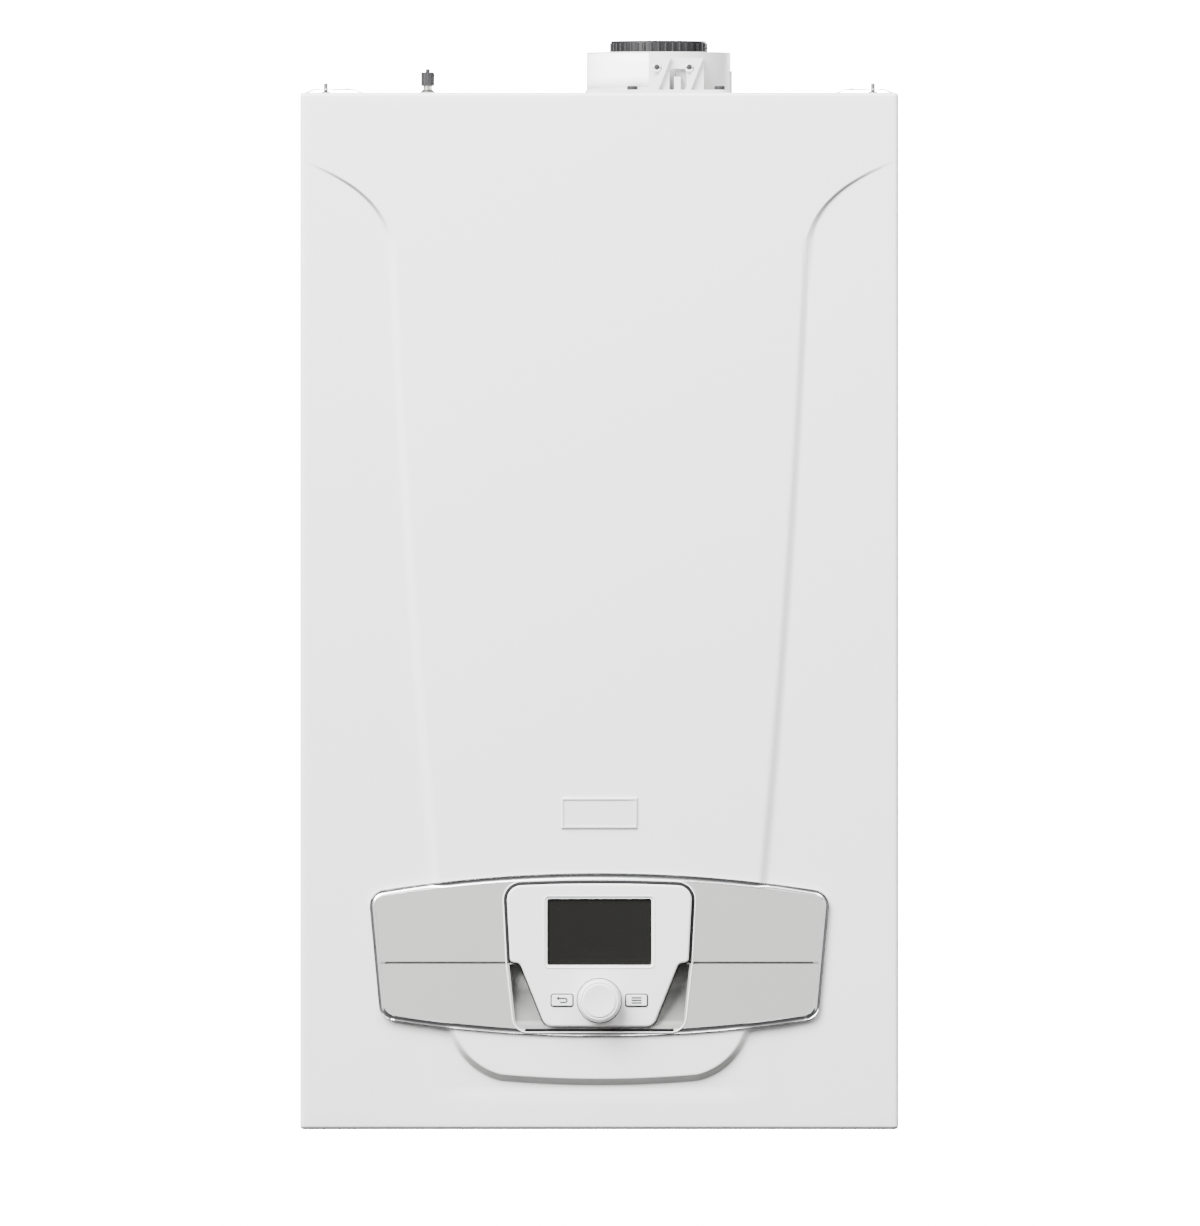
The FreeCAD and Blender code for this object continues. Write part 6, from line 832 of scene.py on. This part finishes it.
FOOT_SHADOW_HALF = POCKET_FOOT_HALF - 6
# Painted shadow: black strips in the gap round the unit's head and below its foot.
loop, normals = pocket_loop()
head = np.roll(np.flatnonzero(loop[:, 1] > HEAD_SHADOW_LOW), 2)
foot = np.flatnonzero((loop[:, 1] < FOOT_SHADOW_HIGH) & (np.abs(loop[:, 0]) < FOOT_SHADOW_HALF))
for name, picked in (("pocket_head_shadow", head), ("pocket_foot_shadow", foot)):
    lip = swept_ring(loop[picked], normals[picked], GAP_SHADOW_PROFILE, close_loop=False)
    new_piece(name, *lip, gap_shadow_black, "control_box", "black_rubber")

# Control box: dark grey moulded tray and cover behind the facia, with the green main board inside.
# Tray and cover have a coarse moulded grain, and the board is fibreglass under a green coat.
BOX_GREY = (0.070, 0.073, 0.078)
BOX_SHADE = (0.055, 0.057, 0.061)
box_plastic = finish("box_moulding", BOX_GREY, BOX_SHADE, 0.5, fine=1200.0, bump=0.25)
dress(box_plastic, "control_box", "control_box_cover")
BOARD_GREEN = (0.012, 0.075, 0.030)
BOARD_SHADE = (0.020, 0.100, 0.042)
board = finish("circuit_board", BOARD_GREEN, BOARD_SHADE, 0.35, fine=400.0, coarse=150.0, bump=0.1)
dress(board, "main_board", "unit_board")

# Control unit: white moulded front and back, display glass, knob and two buttons, clipped into the facia.
# The glass is tinted nearly black. The encoder's ring is black plastic, as are the charge valve's cap, the
# diverter's motor and the cable gland.
UNIT_WHITE = (0.79, 0.79, 0.785)
UNIT_SHADE = (0.765, 0.765, 0.76)
unit_plastic = finish("unit_moulding", UNIT_WHITE, UNIT_SHADE, 0.36, fine=2200.0, coarse=20.0, bump=0.05)
dress(unit_plastic, "unit_front", "unit_rear", "back_button", "menu_button")
GLASS_DARK = (0.009, 0.009, 0.008)
GLASS_SHADE = (0.012, 0.012, 0.011)
glass = finish("display_glass", GLASS_DARK, GLASS_SHADE, 0.12, spread=0.02, fine=60.0, coarse=8.0, bump=0.0)
dress(glass, "display_window", "display_module")
BLACK = (0.018, 0.018, 0.019)
BLACK_SHADE = (0.028, 0.028, 0.029)
black_plastic = finish("black_moulding", BLACK, BLACK_SHADE, 0.45, fine=1500.0, bump=0.15,
                       Specular_IOR_Level=0.2)
dress(black_plastic, "encoder_rotor", "charge_valve_cap", "diverter_motor", "cable_gland")

# Display surround: a low white frame that slopes in to the glass, moulded with the unit's front.
# A thin black ring over its inner slope, down to the glass, is painted shadow at the glass's edge.
UNIT_FACE = -351.0
GLASS_FACE = -349.0
DISPLAY_HALF = 39.25
DISPLAY_RISE = 24.9
DISPLAY_LEVEL = 148.7
DISPLAY_CORNER = 1.5
FRAME_PROFILE = [(2.8, UNIT_FACE + 0.1), (2.65, UNIT_FACE - 0.15), (2.4, UNIT_FACE - 0.4),
                 (2.1, UNIT_FACE - 0.4), (1.9, UNIT_FACE - 0.3), (0.1, GLASS_FACE - 0.45),
                 (0.0, GLASS_FACE - 0.2), (0.3, GLASS_FACE - 0.15)]
GLASS_EDGE_SHADOW_PROFILE = [(0.85, GLASS_FACE - 1.25), (0.0, GLASS_FACE - 0.4), (-0.1, GLASS_FACE - 0.05),
                  (0.6, GLASS_FACE - 0.05)]


def rounded_box(x, z, half_width, half_height, corner):
    """Outline and normals of a rounded rectangle about a point, clockwise from the upper left."""
    corners = [(x - half_width, z + half_height), (x + half_width, z + half_height),
               (x + half_width, z - half_height), (x - half_width, z - half_height)]
    return rounded_loop(corners, [corner] * 4)


surround = rounded_box(0.0, DISPLAY_LEVEL, DISPLAY_HALF, DISPLAY_RISE, DISPLAY_CORNER)
surround_ring = swept_ring(*surround, FRAME_PROFILE)
new_piece("display_surround", *surround_ring, unit_plastic, "control_unit", "white_plastic")
# Painted shadow: a black ring where the surround meets the glass.
edge_shadow_ring = swept_ring(*surround, GLASS_EDGE_SHADOW_PROFILE)
new_piece("display_edge_shadow", *edge_shadow_ring, gap_shadow_black, "control_unit", "black_rubber")

# Knob: a white moulded cap on a spindle, with a shallow dished face inside a fine ring. It pushes into the
# encoder. A dark ring on the unit's front round its base is painted shadow of the gap under it.
KNOB_LEVEL = 97.0
KNOB_BASE = -352.4
KNOB_FACE = -365.4
KNOB_BASE_RADIUS = 16.5
KNOB_FACE_RADIUS = 12.4
KNOB_DISH = 0.7
SPINDLE_RADIUS = 3.0
SPINDLE_END = -339.08
RING_WIDTH = 1.8
RING_DROP = 0.8
BEND_WIDTH = 1.1
BEND_DROP = 2.4


def knob_profile():
    """From the middle of the dished face over the ring and the leaning skirt to the spindle's end."""
    r = np.linspace(0, 1, 9)
    dish = np.stack([r * (KNOB_FACE_RADIUS - 0.5), KNOB_FACE + KNOB_DISH * (1 - r ** 2)], axis=1)
    ring = [(KNOB_FACE_RADIUS, KNOB_FACE + 0.1), (KNOB_FACE_RADIUS + 0.3, KNOB_FACE + 0.9),
            (KNOB_FACE_RADIUS + 0.8, KNOB_FACE + 0.9), (KNOB_FACE_RADIUS + 1.2, KNOB_FACE + 0.5),
            (KNOB_FACE_RADIUS + RING_WIDTH, KNOB_FACE + RING_DROP)]
    a = np.linspace(0, np.pi / 2, 6)[1:]
    bend = np.stack([KNOB_FACE_RADIUS + RING_WIDTH + BEND_WIDTH * np.sin(a),
                     KNOB_FACE + RING_DROP + BEND_DROP * (1 - np.cos(a))], axis=1)
    skirt = [(KNOB_BASE_RADIUS - 0.9, KNOB_BASE - 6), (KNOB_BASE_RADIUS, KNOB_BASE - 0.4),
             (KNOB_BASE_RADIUS - 0.3, KNOB_BASE), (SPINDLE_RADIUS, KNOB_BASE), (SPINDLE_RADIUS, SPINDLE_END),
             (0, SPINDLE_END)]
    return np.concatenate([dish, ring, bend, skirt])


knob = new_piece("knob_cap", *turned(knob_profile(), 0.0, KNOB_LEVEL), unit_plastic, "knob", "white_plastic")
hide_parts("knob")
# Painted shadow: a dark ring on the unit's face round the knob's base.
KNOB_SHADOW_RING = [(KNOB_BASE_RADIUS - 1.2, UNIT_FACE + 0.1), (KNOB_BASE_RADIUS - 1.2, UNIT_FACE - 0.3),
             (KNOB_BASE_RADIUS + 0.3, UNIT_FACE - 0.3), (KNOB_BASE_RADIUS + 0.6, UNIT_FACE + 0.1),
             (KNOB_BASE_RADIUS - 1.2, UNIT_FACE + 0.1)]
new_piece("knob_gap_shadow", *turned(KNOB_SHADOW_RING, 0.0, KNOB_LEVEL), gap_shadow_black, "control_unit", "black_rubber")

# Button marks: dark printed signs, a bent arrow for back and three bars for the menu, in fine dark frames.
# The ink lies a tenth of a millimetre thick on the buttons. The frames round them on the unit are painted
# shadow of the gaps round the buttons.
BUTTON_X = 28.0
BUTTON_LEVEL = 97.2
BUTTON_HALF = 7.75
BUTTON_RISE = 4.15
BUTTON_CORNER = 1.2
BUTTON_FACE = -352.2
MARK_THICK = 0.1
MARK_SINK = 0.05
ARROW_RISE = 1.5
ARROW_LINE = 1.1
ARROW_HEAD = 3.4
ARROW_TIP = 0.05
BAR_HALF = 3.8
BAR_PITCH = 1.9
BAR_LINE = 1.05
INK_AND_SHADOW_COLOUR = (0.030, 0.030, 0.031)
INK_AND_SHADOW_SHADE = (0.042, 0.042, 0.043)
ink = finish("mark_ink_and_gap_shadow", INK_AND_SHADOW_COLOUR, INK_AND_SHADOW_SHADE, 0.6, fine=2600.0, bump=0.05)
BUTTON_SHADOW_LINE = [(0.12, UNIT_FACE + 0.3), (0.12, UNIT_FACE - 0.05), (0.5, UNIT_FACE - 0.08),
              (1.05, UNIT_FACE - 0.05), (1.05, UNIT_FACE + 0.3)]


def ribbon(path, width):
    """A flat bar with a square section along a path in the button's face: each row has four corners, half the
    width to either side of the path and MARK_THICK deep, with both ends closed."""
    path = np.asarray(path, dtype=float)
    way = np.gradient(path, axis=0)
    way /= np.maximum(np.hypot(*way.T), TINY)[:, None]
    across = np.stack([-way[:, 1], way[:, 0]], axis=1) * np.asarray(width)[:, None] / 2
    left = path + across
    right = path - across
    flat = np.stack([left, right, right, left], axis=1)
    depth = [BUTTON_FACE - MARK_THICK] * 2 + [BUTTON_FACE + MARK_SINK] * 2
    y = np.broadcast_to(depth, flat.shape[:2])
    points = np.stack([flat[..., 0], y, flat[..., 1]], axis=-1)
    last = 4 * len(path) - 4
    ends = np.array([[0, 1, 2, 3], [last, last + 1, last + 2, last + 3]])
    return points.reshape(-1, 3), np.concatenate([grid_faces(len(path), 4, close_columns=True), ends])


hook_turn = np.linspace(-np.pi / 2, np.pi / 2, 12)
hook = np.stack([2.2 + ARROW_RISE * np.cos(hook_turn), ARROW_RISE * np.sin(hook_turn)], axis=1)
arrow = np.concatenate([[(-1.6, -ARROW_RISE), (0.4, -ARROW_RISE)], hook,
                        [(x, ARROW_RISE) for x in (0.4, -2.2, -2.25, -4.4)]])
arrow_width = np.array([ARROW_LINE] * 16 + [ARROW_HEAD, ARROW_TIP])
arrow_ink = ribbon(arrow + (-BUTTON_X, BUTTON_LEVEL), arrow_width)
new_piece("back_mark", *arrow_ink, ink, "back_button", "black_plastic", smooth=False)
for number in (1, 2, 3):
    lift = (number - 2) * BAR_PITCH
    bar = np.array([(x, lift) for x in (-BAR_HALF, 0, BAR_HALF)]) + (BUTTON_X, BUTTON_LEVEL)
    bar_ink = ribbon(bar, [BAR_LINE] * 3)
    new_piece(f"menu_mark_{number}", *bar_ink, ink, "menu_button", "black_plastic", smooth=False)
# Painted shadow: a dark frame on the unit's face round each button, for the gap round it.
for name, x in (("back_gap_shadow", -BUTTON_X), ("menu_gap_shadow", BUTTON_X)):
    frame_loop = rounded_box(x, BUTTON_LEVEL, BUTTON_HALF, BUTTON_RISE, BUTTON_CORNER)
    new_piece(name, *swept_ring(*frame_loop, BUTTON_SHADOW_LINE), ink, "control_unit", "black_plastic")

# Flue adapter: a white moulding, fitted last and screwed to the roof with dark screws. It has two test plugs,
# a blank paper label stuck on its left and a ribbed rubber seal in its mouth.
FLUE_X = 45.0
FLUE_Y = -160.0
COLLAR_RADIUS = 54.5
LABEL_LOW = 786.5
LABEL_HIGH = 812.0
LABEL_START = -86.0
LABEL_END = -8.0
LABEL_OUTSIDE = 0.22
LABEL_INSIDE = 0.02
FLUE_PLASTIC_COLOUR = (0.60, 0.60, 0.595)
FLUE_PLASTIC_SHADE = (0.565, 0.565, 0.56)
flue_plastic = finish("flue_moulding", FLUE_PLASTIC_COLOUR, FLUE_PLASTIC_SHADE, 0.4, fine=1600.0,
                      coarse=25.0, bump=0.06)
dress(flue_plastic, "flue_adapter", "left_test_plug", "right_test_plug")
dress(black_plastic, "casing_screws")
RUBBER_COLOUR = (0.010, 0.010, 0.011)
RUBBER_SHADE = (0.016, 0.016, 0.017)
rubber = finish("seal_rubber", RUBBER_COLOUR, RUBBER_SHADE, 0.34, fine=1800.0, bump=0.1)
dress(rubber, "flue_seal")


def collar_label():
    """A thin sheet wrapped on the collar: angle from the front by height, with its back just inside it."""
    angle = np.radians(np.linspace(LABEL_START, LABEL_END, 40))
    z = np.linspace(LABEL_LOW, LABEL_HIGH, 4)[:, None]
    shells = []
    for radius in (COLLAR_RADIUS + LABEL_OUTSIDE, COLLAR_RADIUS + LABEL_INSIDE):
        wrap = FLUE_X + radius * np.sin(angle), FLUE_Y - radius * np.cos(angle), z
        shells.append(np.stack(np.broadcast_arrays(*wrap), axis=-1))
    ring = np.concatenate([shells[0], shells[1][::-1]])
    return ring.reshape(-1, 3), grid_faces(8, 40, close_rows=True)


PAPER_COLOUR = (0.97, 0.97, 0.965)
PAPER_SHADE = (0.95, 0.95, 0.945)
paper = finish("label_paper", PAPER_COLOUR, PAPER_SHADE, 0.5, fine=900.0, bump=0.04)
new_piece("collar_label", *collar_label(), paper, "casing", "white_plastic")
LEFT_PLUG_X = 43.5
RIGHT_PLUG_X = 68.0
EYE_LEVEL = 801.2
PLUG_FACE = -221.5
PLUG_EYE = [(0, PLUG_FACE - 0.1), (1.9, PLUG_FACE - 0.1), (2.1, PLUG_FACE + 0.05), (0, PLUG_FACE + 0.05)]
for body, x in (("left_test_plug", LEFT_PLUG_X), ("right_test_plug", RIGHT_PLUG_X)):
    new_piece(body + "_eye", *turned(PLUG_EYE, x, EYE_LEVEL, 32), black_plastic, body, "black_plastic")

# Studio: pale floor under the boiler, soft key from the upper left, and an even white surround.
# The camera stands level and far back, so that hardly any perspective shows.
FLOOR_LEVEL = -1500.0
FLOOR_RADIUS = 500.0
FLOOR_Y = -150.0
FLOOR_PROFILE = [(radius, FLOOR_LEVEL) for radius in np.linspace(0, 1, 8) * FLOOR_RADIUS]
CAMERA_X = 0.5
CAMERA_Z = 388.5
CAMERA_GAP = 25000.0
CAMERA_REACH = 100000.0
SENSOR = 36.0
FRAME_HEIGHT = 922.2
FLOOR_PAINT_COLOUR = (0.80, 0.80, 0.80)
FLOOR_PAINT_SHADE = (0.78, 0.78, 0.78)
floor_paint = finish("studio_floor", FLOOR_PAINT_COLOUR, FLOOR_PAINT_SHADE, 0.8, fine=60.0, coarse=2.0,
                     bump=0.02)
floor_mesh = bpy.data.meshes.new("studio_floor")
floor_points, floor_quads = turned(FLOOR_PROFILE, 0.0, FLOOR_Y, 64, upright=True)
floor_mesh.from_pydata((floor_points * MM).tolist(), [], floor_quads.tolist())
floor_mesh.materials.append(floor_paint)
floor = bpy.data.objects.new("studio_floor", floor_mesh)
tidy(floor)
bpy.context.scene.collection.objects.link(floor)


def soft_light(name, place, aim, size, power):
    """A square area light that looks from a place at a point, both in metres."""
    lamp = bpy.data.lights.new(name, "AREA")
    lamp.size = size
    lamp.energy = power
    light = bpy.data.objects.new(name, lamp)
    light.location = place
    light.rotation_mode = "QUATERNION"
    light.rotation_quaternion = (Vector(aim) - Vector(place)).to_track_quat("-Z", "Y")
    bpy.context.scene.collection.objects.link(light)


SKY_LOW = -0.1
SKY_HIGH = 0.9
SKY_FLOOR = 0.05
SKY_ROOF = 0.5
SKY_SEEN = 24.0
middle = (0.0, -0.3, 0.45)
soft_light("key_upper_left", (-2.1, -2.8, 2.8), middle, 2.8, 810.0)
soft_light("fill_right", (1.6, -2.6, 3.0), middle, 2.0, 160.0)
soft_light("roof_light", (-0.6, -1.5, 2.6), (0.0, -0.2, 0.8), 1.4, 80.0)
soft_light("rear_fill", (1.0, 2.4, 1.2), (0.0, 0.0, 0.4), 1.6, 120.0)
soft_light("left_strip", (-2.2, -1.4, 0.5), (0.0, -0.35, 0.4), 2.0, 20.0)
soft_light("right_strip", (2.2, -1.4, 0.5), (0.0, -0.35, 0.4), 2.0, 20.0)

world = bpy.data.worlds.new("white_surround")
bpy.context.scene.world = world
world.use_nodes = True
sky = world.node_tree
backdrop = sky.nodes["Background"]
backdrop.inputs["Color"].default_value = (1, 1, 1, 1)
ray = sky.nodes.new("ShaderNodeLightPath")
heading = sky.nodes.new("ShaderNodeTexCoord")
compass = sky.nodes.new("ShaderNodeSeparateXYZ")
sky.links.new(heading.outputs["Generated"], compass.inputs["Vector"])
dawn = sky.nodes.new("ShaderNodeMapRange")
dawn.inputs["From Min"].default_value = SKY_LOW
dawn.inputs["From Max"].default_value = SKY_HIGH
dawn.inputs["To Min"].default_value = SKY_FLOOR
dawn.inputs["To Max"].default_value = SKY_ROOF
sky.links.new(compass.outputs["Z"], dawn.inputs["Value"])
glow = sky.nodes.new("ShaderNodeMix")
glow.inputs["B"].default_value = SKY_SEEN
sky.links.new(ray.outputs["Is Camera Ray"], glow.inputs["Factor"])
sky.links.new(dawn.outputs["Result"], glow.inputs["A"])
sky.links.new(glow.outputs["Result"], backdrop.inputs["Strength"])

lens = bpy.data.cameras.new("front_camera")
lens.sensor_width = SENSOR
lens.lens = SENSOR * CAMERA_GAP / FRAME_HEIGHT
lens.clip_end = CAMERA_REACH * MM
camera = bpy.data.objects.new("front_camera", lens)
camera.location = (CAMERA_X * MM, (PANEL_FACE - CAMERA_GAP) * MM, CAMERA_Z * MM)
camera.rotation_euler = (np.pi / 2, 0, 0)
bpy.context.scene.collection.objects.link(camera)
bpy.context.scene.camera = camera
